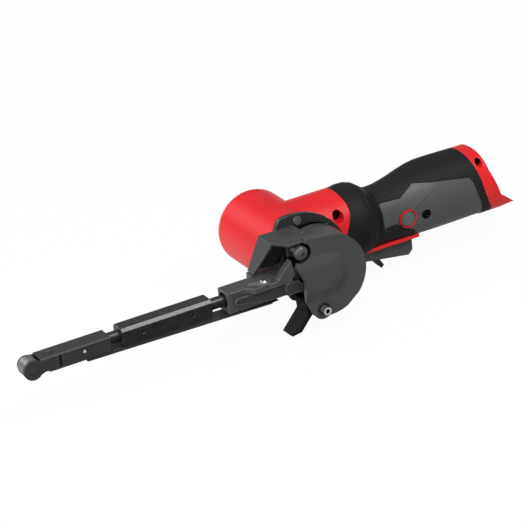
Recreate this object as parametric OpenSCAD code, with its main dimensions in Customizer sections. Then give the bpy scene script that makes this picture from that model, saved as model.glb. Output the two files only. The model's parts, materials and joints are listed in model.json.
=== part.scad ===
// Cordless band file: a narrow belt sander, its motor across an in-line handle.
// Origin at the drive pulley's centre, +X along the arm, +Y to the cover, +Z up.
// All lengths are in millimetres.

/* [Belt and rollers] */
// Loop length of the belt
belt_length = 457.2; // [440:0.1:480]
// Thickness of that belt
belt_t = 0.9; // [0.6:0.1:1.4]
// Radius of the drive pulley
pulley_r = 11.6; // [10.6:0.1:12.4]
// Width of the drive pulley
pulley_w = 13.7; // [12.7:0.1:15]
// Radius of the front roller
roller_r = 6.0; // [5.4:0.1:6.4]
// Width of the front roller
roller_w = 7.9; // [7:0.1:8.6]
// Drop of the front roller below the arm's axis
roller_drop = 1.5; // [0.5:0.1:2]
// Radius of the front roller's axle
axle_r = 1.5; // [1.2:0.1:2]
// Outer radius of the front roller's bearings
roller_bearing_r = 3.5; // [3:0.1:4]

/* [Motor] */
// Outer radius of the motor housing
motor_r = 25.0; // [24:0.1:27]
// From the handle's middle to the motor's far end
motor_over = 40.9; // [39:0.1:44]
// Wall of the motor housing and its neck
housing_wall = 2.2; // [1.6:0.1:2.8]
// Length of the motor's end cap
cap_len = 12.5; // [11:0.1:14]
// Rounding of the end cap's edge
cap_round = 8.0; // [5:0.1:9]
// Length of the stator
stator_len = 26; // [20:0.5:28]
// From the handle's middle to the stator's middle
stator_shift = 3.5; // [2:0.1:4]
// Radius of the rotor
rotor_r = 10; // [8:0.1:11]
// Air gap between the rotor and the stator
air_gap = 0.5; // [0.4:0.1:1]
// Radius of the motor shaft
shaft_r = 2.5; // [2:0.1:3]
// Outer radius of the shaft's bearings
bearing_r = 8; // [7:0.1:9]
// Width of the shaft's bearings
bearing_w = 5; // [4:0.1:5]
// Radius of the cooling fan
fan_r = 19; // [16:0.1:20]

/* [Swivel head] */
// From the belt's middle to the back plate
plate_set = 11.0; // [10.6:0.1:12]
// Thickness of the back plate
plate_t = 2.4; // [2:0.1:3]
// Outer radius of the back plate's crescent
crescent_r = 39.4; // [38.5:0.1:41]
// Radius of the curved slot's middle line
slot_r = 24.7; // [24:0.1:25]
// Radius of the clamp screw in that slot
clamp_r = 2.0; // [1.6:0.1:2.2]
// Radius of the back plate's swivel boss
boss_r = 15; // [13:0.1:16]
// Degrees that the arm swings up
swing_up = 45; // [20:1:50]
// Degrees that the arm swings down
swing_down = 90; // [40:1:95]
// Thickness of the motor mount's flange
mount_t = 5; // [4:0.1:6]
// Radius of the belt cover
cover_r = 27; // [25.5:0.1:29]
// From the belt's middle to the cover's outer face
cover_set = 12.6; // [12.2:0.1:14]
// Sheet of the belt cover and the guard hood
cover_wall = 1.6; // [1:0.1:2]

/* [Arm] */
// From the pulley's axis to the bracket's front
bracket_reach = 68.2; // [66:0.1:74]
// Half width of the arm's blocks
arm_half_w = 6.2; // [6:0.1:6.6]
// Height of the arm's blocks above its axis
block_top = 5.9; // [5.4:0.1:6.4]
// Depth of the arm's blocks below its axis
block_bottom = 5.6; // [5.2:0.1:6]
// Chamfer along the middle block's upper edges
block_chamfer = 1.8; // [1:0.1:2.2]
// Chamfer along the tip block's upper edges
tip_chamfer = 0.8; // [0.4:0.1:1.4]
// Radius of the arm's rod
rod_r = 3.7; // [3.2:0.1:4]
// Gap between the bracket and the middle block
travel_gap = 11; // [10:0.1:14]
// Gap between the middle and tip blocks
arm_gap = 8; // [6:0.1:10]
// Length of the tip block
tip_block_len = 41; // [36:0.5:46]
// Height of the tip block above that axis
tip_block_top = 4.2; // [4:0.1:5]
// From the roller's axis back to the tip block
tip_set = 10.1; // [9.6:0.1:12]
// Thickness of the fork's two cheeks
fork_t = 2.0; // [1.8:0.1:2.2]
// Radius of the fork's near end
fork_r = 6.2; // [5.6:0.1:6.6]
// Thickness of the platen's graphite pad
pad_t = 0.6; // [0.4:0.1:1]

/* [Handle] */
// From the belt's middle to the handle's middle
handle_set = 49.5; // [48:0.1:52]
// Outer radius of the red neck
neck_r = 24.4; // [23:0.1:24.8]
// From the pulley's axis to the neck's end
neck_reach = 46.5; // [44:0.1:48]
// From the pulley's axis to the saddle
saddle_x = 72; // [70:0.5:76]
// Height of the grip at the saddle
saddle_top = 16.8; // [16:0.1:19]
// Depth of the grip at the saddle
saddle_bottom = 19.4; // [18.6:0.1:20.4]
// Half width of the grip at the saddle
saddle_half_w = 17.5; // [17:0.1:19]
// From the pulley's axis to the grip's swell
swell_x = 114; // [110:0.5:120]
// Height of the grip at its swell
swell_top = 25; // [24:0.1:27]
// Depth of the grip at its swell
swell_bottom = 22.4; // [21.5:0.1:24]
// Half width of the grip at its swell
swell_half_w = 22; // [21:0.1:24]
// Height of the grip at its rear end
rear_top = 24.4; // [23:0.1:26]
// Depth of the grip at its rear end
rear_bottom = 21.8; // [21:0.1:24]
// Half width of the grip at its rear end
rear_half_w = 22.4; // [21.5:0.1:24]
// Thickness of the rubber overmould
rubber_t = 1.4; // [1:0.1:2]
// Wall of the handle shells
shell_wall = 2.3; // [1.8:0.1:2.8]
// From the pulley's axis to the rear bezel's front
bezel_x = 139; // [135:0.1:143]
// Setback of the bezel's front at its bottom
bezel_lean = 16; // [10:0.5:18]
// Length of the rear bezel along its top
bezel_len = 9.5; // [8:0.1:12]
// Length of the tongue behind the bezel
tongue_len = 28.3; // [24:0.1:32]
// Radius of the battery bay's mouth
bay_r = 17.2; // [16.4:0.1:17.8]

/* [Controls] */
// Length of the trigger paddle
trigger_len = 43; // [40:0.1:44]
// Half width of the trigger paddle
trigger_half_w = 12.6; // [11:0.1:13]
// Wall of the trigger paddle
trigger_wall = 2; // [1.4:0.1:2.4]
// Degrees that the trigger can be squeezed
trigger_swing = 7; // [4:0.5:8]
// Thickness of the red trim above the trigger
trim_t = 2.4; // [1.8:0.1:3]
// Radius of the direction button
button_r = 5.4; // [4.8:0.1:6]
// Travel of the direction button
button_travel = 1.5; // [1:0.1:2]
// Radius of the tracking knob
knob_r = 4.6; // [4:0.1:5]
// Thickness of the swivel lock lever
lock_t = 3; // [2.4:0.1:3.4]

/* [Fits] */
// Radial clearance of a running fit
run_clear = 0.05; // [0.03:0.01:0.08]
// Radial clearance of a seat
seat_clear = 0.02; // [0.01:0.01:0.05]
// Gap between faces that pass each other
pass_gap = 0.3; // [0.25:0.05:0.4]

/* [Hidden] */
$fn = 64;
red = "#d8232a";
charcoal = "#35363a";
rubber = "#2b2c2e";
dark_metal = "#46474a";
cast_metal = "#6f7072";
black_metal = "#2c2d2f";
steel = "#b8babd";
copper = "#b5703a";
// Overrun of every cut past the face that it opens
overrun = 1;

// Places across the tool, from the belt's middle
motor_end = handle_set + motor_over;
stator_set = handle_set - stator_shift;
plate_far = -plate_set - plate_t;
mount_near = plate_far - pass_gap;
mount_far = mount_near - mount_t;
barrel_far = cap_len - motor_end;
housing_bore = motor_r - housing_wall;
boss_near = pass_gap - plate_set;
retainer_t = 1.5;
retainer_over = 3;
retainer_r = boss_r + retainer_over;
spigot_len = 4;
seat_floor = 1.5;
front_bearing_near = mount_near - seat_floor;
rear_seat_floor = 3;
rear_bearing_far = rear_seat_floor - motor_end;
shaft_near = pulley_w / 4;

// Places along the arm
pitch_pulley = pulley_r + belt_t / 2;
pitch_roller = roller_r + belt_t / 2;
pitch_step = pitch_pulley - pitch_roller;
straight_first = (belt_length - PI * (pitch_pulley + pitch_roller)) / 2;
wrap_extra = 2 * pitch_step * asin(pitch_step / straight_first) * PI / 180;
straight_run = straight_first - wrap_extra / 2;
centre_gap = sqrt(straight_run * straight_run + pitch_step * pitch_step);
tip_x = sqrt(centre_gap * centre_gap - roller_drop * roller_drop);
tip_front = tip_x - tip_set;
tip_rear = tip_front - tip_block_len;
mid_front = tip_rear - arm_gap;
mid_rear = bracket_reach + travel_gap;
bracket_top = block_top + pass_gap;
bracket_drop = 1.7;
bracket_bottom = block_bottom + bracket_drop;
pulley_room = 5.4;
bracket_rear = pulley_r + pulley_room;

// Height of the lower belt run's inner face at a place
lower_slope = (roller_drop + roller_r - pulley_r) / tip_x;
function lower_run(x) = -pulley_r - lower_slope * x;

// Grip stations: place, height, depth, half width, squareness below
upper_square = 2.3;
saddle_square = 4;
rear_square = 2.3;
grip_start = neck_reach - housing_wall;
start_r = neck_r - housing_wall - seat_clear;
bezel_end = bezel_x + bezel_len + tongue_len;
grip_stations = [
    [-grip_start, start_r, start_r, start_r, rear_square],
    [-saddle_x, saddle_top, saddle_bottom, saddle_half_w, saddle_square],
    [-swell_x, swell_top, swell_bottom, swell_half_w, rear_square],
    [-bezel_x - bezel_len, rear_top, rear_bottom, rear_half_w, rear_square],
    [-bezel_end - overrun, rear_top, rear_bottom, rear_half_w, rear_square]
];
grip_sides = 40;
shell_inset = rubber_t + shell_wall;
collar_set = 5.5;
collar_end = saddle_x - collar_set;
handle_end = bezel_x + bezel_lean;
// Even steps between the grip's named places
front_steps = 8;
rear_steps = 16;
grip_places = concat(
    [for (i = [0 : front_steps]) -grip_start - (collar_end - grip_start) * i / front_steps],
    [for (i = [1 : rear_steps]) -collar_end - (handle_end - collar_end) * i / rear_steps]
);

function ease(t) = t * t * (3 - 2 * t);
function span_at(x) = x > -saddle_x ? 0 : x > -swell_x ? 1 : x > -bezel_x - bezel_len ? 2 : 3;
function grip_at(x) =
    let (k = span_at(x), a = grip_stations[k], b = grip_stations[k + 1])
    a + (b - a) * ease((x - a[0]) / (b[0] - a[0]));
function round_share(share, square) = sign(share) * pow(abs(share), 2 / square);
function grip_point(g, x, inset, turn) =
    let (square = sin(turn) < 0 ? g[4] : upper_square, reach = sin(turn) < 0 ? g[2] : g[1])
    [x, (g[3] - inset) * round_share(cos(turn), square), (reach - inset) * round_share(sin(turn), square)];
function grip_ring(x, inset) =
    let (g = grip_at(x))
    [for (i = [0 : grip_sides - 1]) grip_point(g, x, inset, 360 * (i + 0.5) / grip_sides)];

// Triangles between rings, with a flat face on each end
function tube_faces(rings, sides) = concat(
    [for (r = [0 : rings - 2], i = [0 : sides - 1], half = [0, 1])
        let (a = r * sides + i, b = r * sides + (i + 1) % sides)
        half == 0 ? [a, b, b + sides] : [a, b + sides, a + sides]],
    [[for (i = [sides - 1 : -1 : 0]) i]],
    [[for (i = [0 : sides - 1]) (rings - 1) * sides + i]]
);

// The grip's outer form, drawn in, between two places
module grip_form(front, rear, inset) {
    between = [for (x = grip_places) if (x < front - pass_gap && x > rear + pass_gap) x];
    places = concat([front], between, [rear]);
    at_handle() polyhedron(
        points = [for (x = places, p = grip_ring(x, inset)) p],
        faces = tube_faces(len(places), grip_sides)
    );
}

module at_handle() {
    translate([0, -handle_set, 0]) children();
}

module along_y(near, far, r) {
    translate([0, near, 0]) rotate([90, 0, 0]) cylinder(r = r, h = near - far);
}

module along_x(front, rear, r) {
    translate([rear, 0, 0]) rotate([0, 90, 0]) cylinder(r = r, h = front - rear);
}

// Outline in X and Z, given its thickness along Y
module side_slab(near, far) {
    translate([0, near, 0]) rotate([90, 0, 0]) linear_extrude(near - far) children();
}

// Profile of radius and place, turned about Y or X
module turned_y() {
    rotate([-90, 0, 0]) rotate_extrude() children();
}

module turned_x() {
    rotate([0, 90, 0]) rotate_extrude() children();
}

module box(low, high) {
    translate(low) cube(high - low);
}

module at_xz(place) {
    translate([place[0], 0, place[1]]) children();
}

// Coil spring along Z, one wire swept
coil_sides = 6;
coil_rings = 8;
function coil_point(i, turns, r, height) =
    let (turn = 360 * i / coil_rings)
    [r * cos(turn), r * sin(turn), height * i / (turns * coil_rings)];
function coil_ring(i, turns, r, wire, height) =
    let (turn = 360 * i / coil_rings, p = coil_point(i, turns, r, height), out = [cos(turn), sin(turn), 0])
    [for (k = [0 : coil_sides - 1])
        p + wire * (cos(360 * k / coil_sides) * out + [0, 0, sin(360 * k / coil_sides)])];
// Least gap between a wire's turns, half a turn or more apart
function coil_gap(turns, r, wire, height) =
    min([for (i = [0 : turns * coil_rings], k = [i + coil_rings / 2 : turns * coil_rings])
        norm(coil_point(k, turns, r, height) - coil_point(i, turns, r, height))]) - 2 * wire;
module coil(turns, r, wire, height) {
    polyhedron(
        points = [for (i = [0 : turns * coil_rings], q = coil_ring(i, turns, r, wire, height)) q],
        faces = tube_faces(turns * coil_rings + 1, coil_sides)
    );
}

// Motor and its housing
neck_screw_set = 12.5;
neck_screw_rise = 14.5;
neck_screw = [neck_screw_set - neck_reach, neck_screw_rise];
screw_boss_r = 5.2;
screw_recess_r = 3.8;
screw_head_r = 3.2;
screw_head_t = 2.6;
screw_shank_r = 1.6;
neck_screw_depth = 12.5;
neck_screw_floor = neck_screw_depth - handle_set;

// What lies behind the neck's curved end: how far forward as shares of the neck's reach,
// and height as shares of its radius
neck_edge_shares = [[0.1, 2], [0.1, 1.02], [0.07, 0.8], [0.075, 0.64], [0.13, 0.41], [0.2, 0.16],
        [0.23, -0.1], [0.23, -2]];

module behind_neck() {
    at_handle() side_slab(2 * neck_r, -2 * neck_r) polygon(concat(
        [for (s = neck_edge_shares) [neck_reach * (s[0] - 1), neck_r * s[1]]],
        [[-2 * neck_reach, -2 * neck_r], [-2 * neck_reach, 2 * neck_r]]
    ));
}

module neck_bore() {
    at_handle() along_x(0, -2 * neck_reach, neck_r - housing_wall);
}

module motor_housing() {
    color(red) difference() {
        union() {
            along_y(mount_far, barrel_far, motor_r);
            at_handle() along_x(0, -neck_reach, neck_r);
        }
        difference() {
            union() {
                along_y(mount_far + overrun, barrel_far - overrun, housing_bore);
                neck_bore();
            }
            at_xz(neck_screw) along_y(0, neck_screw_floor - screw_boss_r, screw_boss_r);
        }
        at_xz(neck_screw) along_y(0, neck_screw_floor, screw_recess_r);
        at_xz(neck_screw) along_y(0, neck_screw_floor - screw_boss_r - overrun, screw_shank_r + seat_clear);
        behind_neck();
        box([-2 * neck_reach, mount_far, -2 * motor_r], [2 * motor_r, overrun, 2 * motor_r]);
    }
}

vent_count = 8;
vent_w = 2.4;
vent_ring_share = 0.66;
vent_len_share = 0.3;
cap_floor = 2.4;

module motor_end_cap() {
    color(red) difference() {
        union() {
            turned_y() cap_profile();
            along_y(barrel_far + spigot_len, barrel_far - overrun, housing_bore - seat_clear);
        }
        difference() {
            along_y(barrel_far + spigot_len + overrun, cap_floor - motor_end, housing_bore - housing_wall);
            along_y(rear_bearing_far + bearing_w, -motor_end, bearing_r + housing_wall);
        }
        along_y(rear_bearing_far + bearing_w + overrun, rear_bearing_far, bearing_r + seat_clear);
        for (i = [0 : vent_count - 1])
            rotate([0, 360 * (i + 0.5) / vent_count, 0])
                translate([motor_r * vent_ring_share, 0, 0]) vent_cut();
    }
}

// Quarter round edge at the cap's far end
module cap_profile() {
    translate([0, -motor_end]) square([motor_r - cap_round, cap_len]);
    translate([0, cap_round - motor_end]) square([motor_r, cap_len - cap_round]);
    intersection() {
        translate([motor_r - cap_round, cap_round - motor_end]) circle(cap_round);
        translate([motor_r - cap_round, -motor_end]) square(cap_round);
    }
}

module vent_cut() {
    half_len = motor_r * vent_len_share / 2;
    box([-half_len, -motor_end - overrun, -vent_w / 2], [half_len, barrel_far, vent_w / 2]);
}

clamp_angle = 125;
clamp_lug_t = 3;
clamp_lug_r = clamp_r + clamp_lug_t;
mount_rim_t = 2;
clamp_place = [slot_r * cos(clamp_angle), slot_r * sin(clamp_angle)];

module motor_mount() {
    color("#4c4d50") difference() {
        union() {
            along_y(mount_near, mount_far, motor_r);
            side_slab(mount_near, mount_near - mount_rim_t) crescent_outline(mount_rim_t / 2);
            along_y(mount_far, mount_far - spigot_len, housing_bore - seat_clear);
            along_y(boss_near, mount_near, boss_r);
            at_xz(clamp_place) along_y(mount_near, mount_far, clamp_lug_r);
        }
        along_y(front_bearing_near, mount_far - spigot_len - overrun, bearing_r + seat_clear);
        along_y(boss_near + overrun, mount_far, shaft_r + 2 * pass_gap);
        at_xz(clamp_place) along_y(mount_near + overrun, mount_far - overrun, clamp_r + seat_clear);
    }
}

module swivel_retainer() {
    color(black_metal) difference() {
        along_y(boss_near + retainer_t, boss_near, retainer_r);
        along_y(boss_near + retainer_t + overrun, boss_near - overrun, shaft_r + 4 * pass_gap);
    }
}

stator_near = stator_len / 2 - stator_set;
stator_far = -stator_len / 2 - stator_set;
stator_bore = rotor_r + air_gap;
stator_r = housing_bore - seat_clear;
slot_count = 12;
tooth_gap = 3;
yoke_t = 4;

module stator() {
    color("#7d7f83") difference() {
        along_y(stator_near, stator_far, stator_r);
        along_y(stator_near + overrun, stator_far - overrun, stator_bore);
        for (i = [0 : slot_count - 1])
            rotate([0, 360 * i / slot_count, 0])
                box([stator_bore + 2 * air_gap, stator_far - overrun, -tooth_gap / 2],
                    [stator_r - yoke_t, stator_near + overrun, tooth_gap / 2]);
    }
}

winding_t = 5;
winding_mid = (stator_bore + stator_r) / 2;

module stator_windings() {
    color(copper) for (y = [stator_near + winding_t / 2, stator_far - winding_t / 2])
        translate([0, y, 0]) turned_y() translate([winding_mid, 0]) winding_section();
}

module winding_section() {
    half_w = (stator_r - stator_bore) / 2 - housing_wall;
    square([2 * half_w - winding_t, winding_t], center = true);
    for (s = [-1, 1])
        translate([s * (half_w - winding_t / 2), 0]) circle(winding_t / 2);
}

race_t = 1.6;
seal_dip = 0.4;

// Ball bearing as one ring with dished seals
module bearing(near, far, outer, inner) {
    difference() {
        along_y(near, far, outer);
        along_y(near + overrun, far - overrun, inner);
        for (y = [near, far])
            difference() {
                along_y(y + seal_dip, y - seal_dip, outer - race_t * outer / bearing_r);
                along_y(y + 2 * seal_dip, y - 2 * seal_dip, inner + race_t * outer / bearing_r / 2);
            }
    }
}

module front_bearing() {
    color(steel) bearing(front_bearing_near, front_bearing_near - bearing_w, bearing_r, shaft_r + run_clear);
}

module rear_bearing() {
    color(steel) bearing(rear_bearing_far + bearing_w, rear_bearing_far, bearing_r, shaft_r + run_clear);
}

rotor_over = 2;

module rotor_core() {
    color("#5d6064") difference() {
        along_y(stator_near + rotor_over, stator_far - rotor_over, rotor_r);
        along_y(stator_near + rotor_over + overrun, stator_far - rotor_over - overrun, shaft_r + seat_clear);
    }
}

pulley_screw_r = 1.5;
pulley_screw_len = 7;
pulley_head_r = 4;
pulley_head_t = 1.8;

module motor_shaft() {
    color(steel) difference() {
        along_y(shaft_near, rear_bearing_far, shaft_r);
        along_y(shaft_near + overrun, shaft_near - pulley_screw_len, pulley_screw_r + seat_clear);
    }
}

fan_gap = 1.2;
fan_far = rear_bearing_far + bearing_w + fan_gap;
fan_t = 5;
fan_disc_t = 1.2;
fan_hub_r = 5;
blade_count = 9;
blade_t = 1.1;

module cooling_fan() {
    color(charcoal) difference() {
        union() {
            along_y(fan_far + fan_disc_t, fan_far, fan_r);
            along_y(fan_far + fan_t, fan_far, fan_hub_r);
            for (i = [0 : blade_count - 1])
                rotate([0, 360 * i / blade_count, 0])
                    box([fan_hub_r - blade_t, fan_far, -blade_t / 2],
                        [fan_r - blade_t, fan_far + fan_t, blade_t / 2]);
        }
        along_y(fan_far + fan_t + overrun, fan_far - overrun, shaft_r + seat_clear);
    }
}

pulley_groove = 1.5;
pulley_rim_t = 2.6;

module drive_pulley() {
    color(rubber) difference() {
        along_y(pulley_w / 2, -pulley_w / 2, pulley_r);
        along_y(pulley_w / 2 + overrun, -pulley_w / 2 - overrun, shaft_r + seat_clear);
        for (y = [pulley_w / 2, -pulley_w / 2])
            difference() {
                along_y(y + pulley_groove, y - pulley_groove, pulley_r - pulley_rim_t);
                along_y(y + 2 * pulley_groove, y - 2 * pulley_groove, pulley_head_r + pulley_groove);
            }
    }
}

module pulley_screw() {
    color(steel) difference() {
        union() {
            along_y(pulley_w / 2 + pulley_head_t, pulley_w / 2, pulley_head_r);
            along_y(pulley_w / 2, shaft_near - pulley_screw_len, pulley_screw_r);
        }
        translate([0, pulley_w / 2 + pulley_head_t / 3, 0]) hex_recess(pulley_head_r / 2, pulley_head_t);
    }
}

module hex_recess(r, depth) {
    rotate([-90, 0, 0]) cylinder(r = r, h = depth, $fn = 6);
}

// Handle
trigger_set = 2;
trigger_front = neck_reach + trigger_set;
trigger_rear = trigger_front + trigger_len;
trim_set = 2.2;
trim_top = saddle_bottom - trim_set;
trim_low = trim_top + trim_t;
trim_side = 3.2;
trim_half_w = trigger_half_w + trim_side;
trim_tail = 4;
trim_rear = trigger_rear + trim_tail;
trigger_room = 0.4;
bay_top = 9;
bezel_screw_set = 5.8;
bezel_screw_in = 5.8;
bezel_screw = [-bezel_x - bezel_screw_set, rear_top - bezel_screw_in];
bezel_screw_depth = 10.5;
bezel_screw_floor = bezel_screw_depth - handle_set;
bezel_recess_wall = 0.9;
bezel_recess_r = (rear_top - bay_r) / 2 - bezel_recess_wall;
side_drop = 3;
grip_screw_set = 27.6;
grip_screw = [-saddle_x - grip_screw_set, -side_drop];
button_set = 14.3;
button_place = [-saddle_x - button_set, -side_drop];
ring_t = 0.8;
ring_r = button_r + ring_t;
ring_deep = 7;
ring_floor_t = 0.8;
function side_y(place) = grip_at(place[0])[3] - handle_set;
grip_screw_floor = side_y(grip_screw) - shell_inset + shell_wall / 4;

// Edge of the side panels, as shares of the grip's sizes
panel_shares = [[0, 0.6], [0.22, 0.585], [0.387, 0.93], [0.66, 0.82], [0.95, 0.66], [0.984, 0.45],
        [1.004, 0.17], [1.055, -0.34], [1.13, -1.2], [0.36, -1.2], [0.34, -0.67], [0.15, -0.25],
        [0.02, -0.29]];
module panel_outline() {
    polygon([for (s = panel_shares)
        [-collar_end - overrun - s[0] * (bezel_x - collar_end - 2 * overrun), s[1] * saddle_bottom]]);
}

module panel_cut(inset) {
    at_handle() side_slab(2 * swell_half_w, -2 * swell_half_w) offset(delta = -inset) panel_outline();
}

module trigger_bay() {
    at_handle() box([-trim_rear, -trigger_half_w - trigger_room, -2 * swell_bottom],
            [-neck_reach, trigger_half_w + trigger_room, -bay_top]);
    at_handle() box([-trim_rear, -trim_half_w, -2 * swell_bottom],
            [-grip_start + overrun, trim_half_w, -trim_top]);
}

// Handle's rear edge: setback as shares of the bezel's lean, and height as shares of
// the grip's rear depth
bezel_front_shares = [[0, 2], [0, 1.1], [0.35, 0], [0.54, -0.37], [0.75, -0.65], [1, -1], [1, -2]];

module behind_handle() {
    at_handle() side_slab(2 * rear_half_w, -2 * rear_half_w) polygon(concat(
        [for (s = bezel_front_shares) [-bezel_x - bezel_lean * s[0], rear_bottom * s[1]]],
        [[-2 * bezel_end, -2 * rear_bottom], [-2 * bezel_end, 2 * rear_bottom]]
    ));
}

// Depth of the panels below their rubber frame
panel_sink = 0.5;

module shell_walls() {
    difference() {
        union() {
            grip_form(-grip_start, -handle_end, rubber_t);
            intersection() {
                grip_form(-collar_end, -handle_end, panel_sink);
                panel_cut(seat_clear);
            }
        }
        grip_form(-grip_start + overrun, -handle_end - overrun, shell_inset);
        behind_handle();
        trigger_bay();
        at_xz(button_place) along_y(0, -handle_set, ring_r + seat_clear);
        at_xz(grip_screw) along_y(0, grip_screw_floor, screw_head_r + seat_clear);
        at_xz(grip_screw) along_y(0, -handle_set, screw_shank_r + seat_clear);
    }
}

module shell_side(side) {
    at_handle() box([-bezel_end, side < 0 ? -2 * swell_half_w : 0, -2 * swell_top],
            [0, side < 0 ? 0 : 2 * swell_half_w, 2 * swell_top]);
}

module handle_shell_left() {
    color("#505154") intersection() {
        shell_walls();
        shell_side(1);
    }
}

module handle_shell_right() {
    color("#505154") intersection() {
        shell_walls();
        shell_side(-1);
    }
}

module grip_overmould() {
    color(rubber) difference() {
        grip_form(-collar_end, -handle_end, 0);
        grip_form(-collar_end + overrun, -handle_end - overrun, rubber_t - seat_clear);
        behind_handle();
        panel_cut(0);
        trigger_bay();
        at_xz(button_place) along_y(0, -handle_set, ring_r + seat_clear);
    }
}

collar_shares = [[-0.6, 1], [0, 1], [0.16, 1.025], [0.42, 1.02], [0.52, 0.975], [0.58, 0.98], [0.72, 0.9],
        [0.88, 0.8], [1, 0.71]];
// Groove between the collar and the handle
collar_groove = 0.5;

module collar_ring() {
    color(rubber) difference() {
        intersection() {
            union() {
                at_handle() turned_x() polygon(concat(
                    [[0, -collar_end]], [[0, collar_shares[0][0] * (neck_reach - collar_end) - neck_reach]],
                    [for (s = collar_shares) [neck_r * s[1], -neck_reach - s[0] * (collar_end - neck_reach)]]
                ));
                grip_form(-neck_reach, collar_groove - collar_end, 0);
            }
            behind_neck();
        }
        grip_form(-grip_start + overrun, -collar_end - overrun, rubber_t - seat_clear);
        at_handle() along_x(0, -grip_start - seat_clear, neck_r - housing_wall);
        trigger_bay();
    }
}

// Side view of the bezel's mouth, sloping out along the tongue
mouth_shares = [[-0.04, 1.4], [0.05, 0.6], [0.23, 0], [0.38, -0.5], [0.48, -0.84], [0.54, -0.93], [1, -0.97],
        [1.2, -0.97], [1.2, 1.4]];
mouth_x = bezel_x + bezel_len;
tongue_t = 2;

module rear_bezel() {
    color(red) difference() {
        union() {
            intersection() {
                grip_form(-bezel_x, -bezel_end, 0);
                behind_handle();
            }
            grip_form(-bezel_x, -mouth_x, shell_inset + run_clear);
        }
        at_handle() along_x(-bezel_x + overrun, -mouth_x - overrun, bay_r);
        grip_form(-mouth_x, -bezel_end - overrun, tongue_t);
        at_handle() side_slab(2 * rear_half_w, -2 * rear_half_w)
            polygon([for (s = mouth_shares) [-mouth_x - s[0] * tongue_len, s[1] * rear_bottom]]);
        at_xz(bezel_screw) along_y(0, bezel_screw_floor, bezel_recess_r);
        at_xz(bezel_screw) along_y(0, bezel_screw_floor - 2 * screw_head_t, screw_shank_r + seat_clear);
    }
}

terminal_set = 37;
terminal_x = bezel_x - terminal_set;
terminal_t = 6;
terminal_r = grip_at(-terminal_x)[3] - shell_inset - pass_gap;
blade_w = 6;
blade_len = 11;
blade_sheet = 0.8;
blade_gap = 5;

module terminal_block() {
    color(charcoal) at_handle() {
        along_x(-terminal_x, -terminal_x - terminal_t, terminal_r);
        for (y = [-blade_gap, 0, blade_gap])
            box([-terminal_x - terminal_t - blade_len, y - blade_sheet / 2, -blade_w / 2],
                [-terminal_x - terminal_t, y + blade_sheet / 2, blade_w / 2]);
    }
}

switch_set = 13.5;
switch_len = 28;
switch_front = trigger_front + switch_set;
switch_rear = switch_front + switch_len;
switch_core_share = 0.6;
wing_set = 6;
wing_len = 10;
wing_front = saddle_x - wing_set;
wing_rear = wing_front + wing_len;
switch_top = 4;
switch_low = 8;
switch_half_w = saddle_half_w - shell_inset - pass_gap;
plunger_r = 2.2;
plunger_len = 3.5;
plunger_back = 13.5;
plunger_x = trigger_rear - plunger_back;

module trigger_switch() {
    color(charcoal) at_handle() {
        core_half_w = switch_half_w * switch_core_share;
        box([-switch_rear, -core_half_w, -switch_low], [-switch_front, core_half_w, switch_top]);
        box([-wing_rear, -switch_half_w, -switch_top / 2], [-wing_front, switch_half_w, switch_top / 2]);
        translate([-plunger_x, 0, -switch_low - plunger_len]) cylinder(r = plunger_r, h = plunger_len);
    }
}

board_t = 1.6;
board_half_w = 10.5;
board_over = 6;
board_front = switch_front - board_over;
board_rear = switch_rear + board_over / 3;
chip_t = 2.2;
chip_half = 3;
chip_set = 5;
chip_pitch = 9;
capacitor_r = 2.6;

module control_board() {
    color("#2f5a3a") at_handle() translate([0, 0, switch_top]) {
        box([-board_rear, -board_half_w, 0], [-board_front, board_half_w, board_t]);
        for (i = [0 : 2], s = [-1, 1])
            translate([-board_front - chip_set - i * chip_pitch, s * board_half_w / 2, board_t])
                box([-chip_half, -chip_half, 0], [chip_half, chip_half, chip_t]);
        for (s = [-1, 1])
            translate([-board_rear + 2 * capacitor_r, s * board_half_w / 2, board_t])
                cylinder(r = capacitor_r, h = 2 * chip_t);
    }
}

// Trigger and its lock
pivot_set = 5.5;
pivot_rise = 3.2;
pivot = [-neck_reach - pivot_set, pivot_rise - trim_top];
pivot_r = 1.5;
pivot_hub_r = 3;
hinge_set = 3.6;
hinge_half_w = trigger_half_w - hinge_set;
lug_set = 0.6;
lug_half_w = trigger_half_w - lug_set;
paddle_front_h = 6;
paddle_rear_h = 12;
paddle_front_low = trim_low + paddle_front_h;
paddle_rear_low = trim_low + paddle_rear_h;
paddle_top = trim_low + 2 * pass_gap;
paddle_round = 3;

module trigger_trim() {
    color(red) difference() {
        union() {
            at_handle() box([-trim_rear, -trim_half_w, -trim_low], [-neck_reach, trim_half_w, -trim_top]);
            for (s = [-1, 1])
                at_handle() translate([pivot[0], s * (hinge_half_w + pass_gap + lug_half_w) / 2, -trim_low])
                    trim_lug();
        }
        at_handle()
            box([-trigger_rear - 3 * trigger_room, -trigger_half_w - trigger_room, -trim_low - overrun],
                [pivot[0] - pivot_hub_r, trigger_half_w + trigger_room, -trim_top + overrun]);
        at_handle() box([-trigger_rear, -hinge_half_w - pass_gap, -trim_low - overrun],
                [-trigger_front + 2 * trigger_room, hinge_half_w + pass_gap, -trim_top + overrun]);
        at_handle() at_xz(pivot) along_y(2 * trim_half_w, -2 * trim_half_w, pivot_r + seat_clear);
    }
}

// One of the trim's two lugs for the trigger's pin
module trim_lug() {
    half_t = (lug_half_w - hinge_half_w - pass_gap) / 2;
    box([-pivot_hub_r, -half_t, 0], [pivot_hub_r, half_t, trim_low + pivot[1] + pivot_hub_r]);
}

module trigger_pin() {
    color(steel) at_handle() at_xz(pivot) along_y(lug_half_w, -lug_half_w, pivot_r);
}

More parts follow.
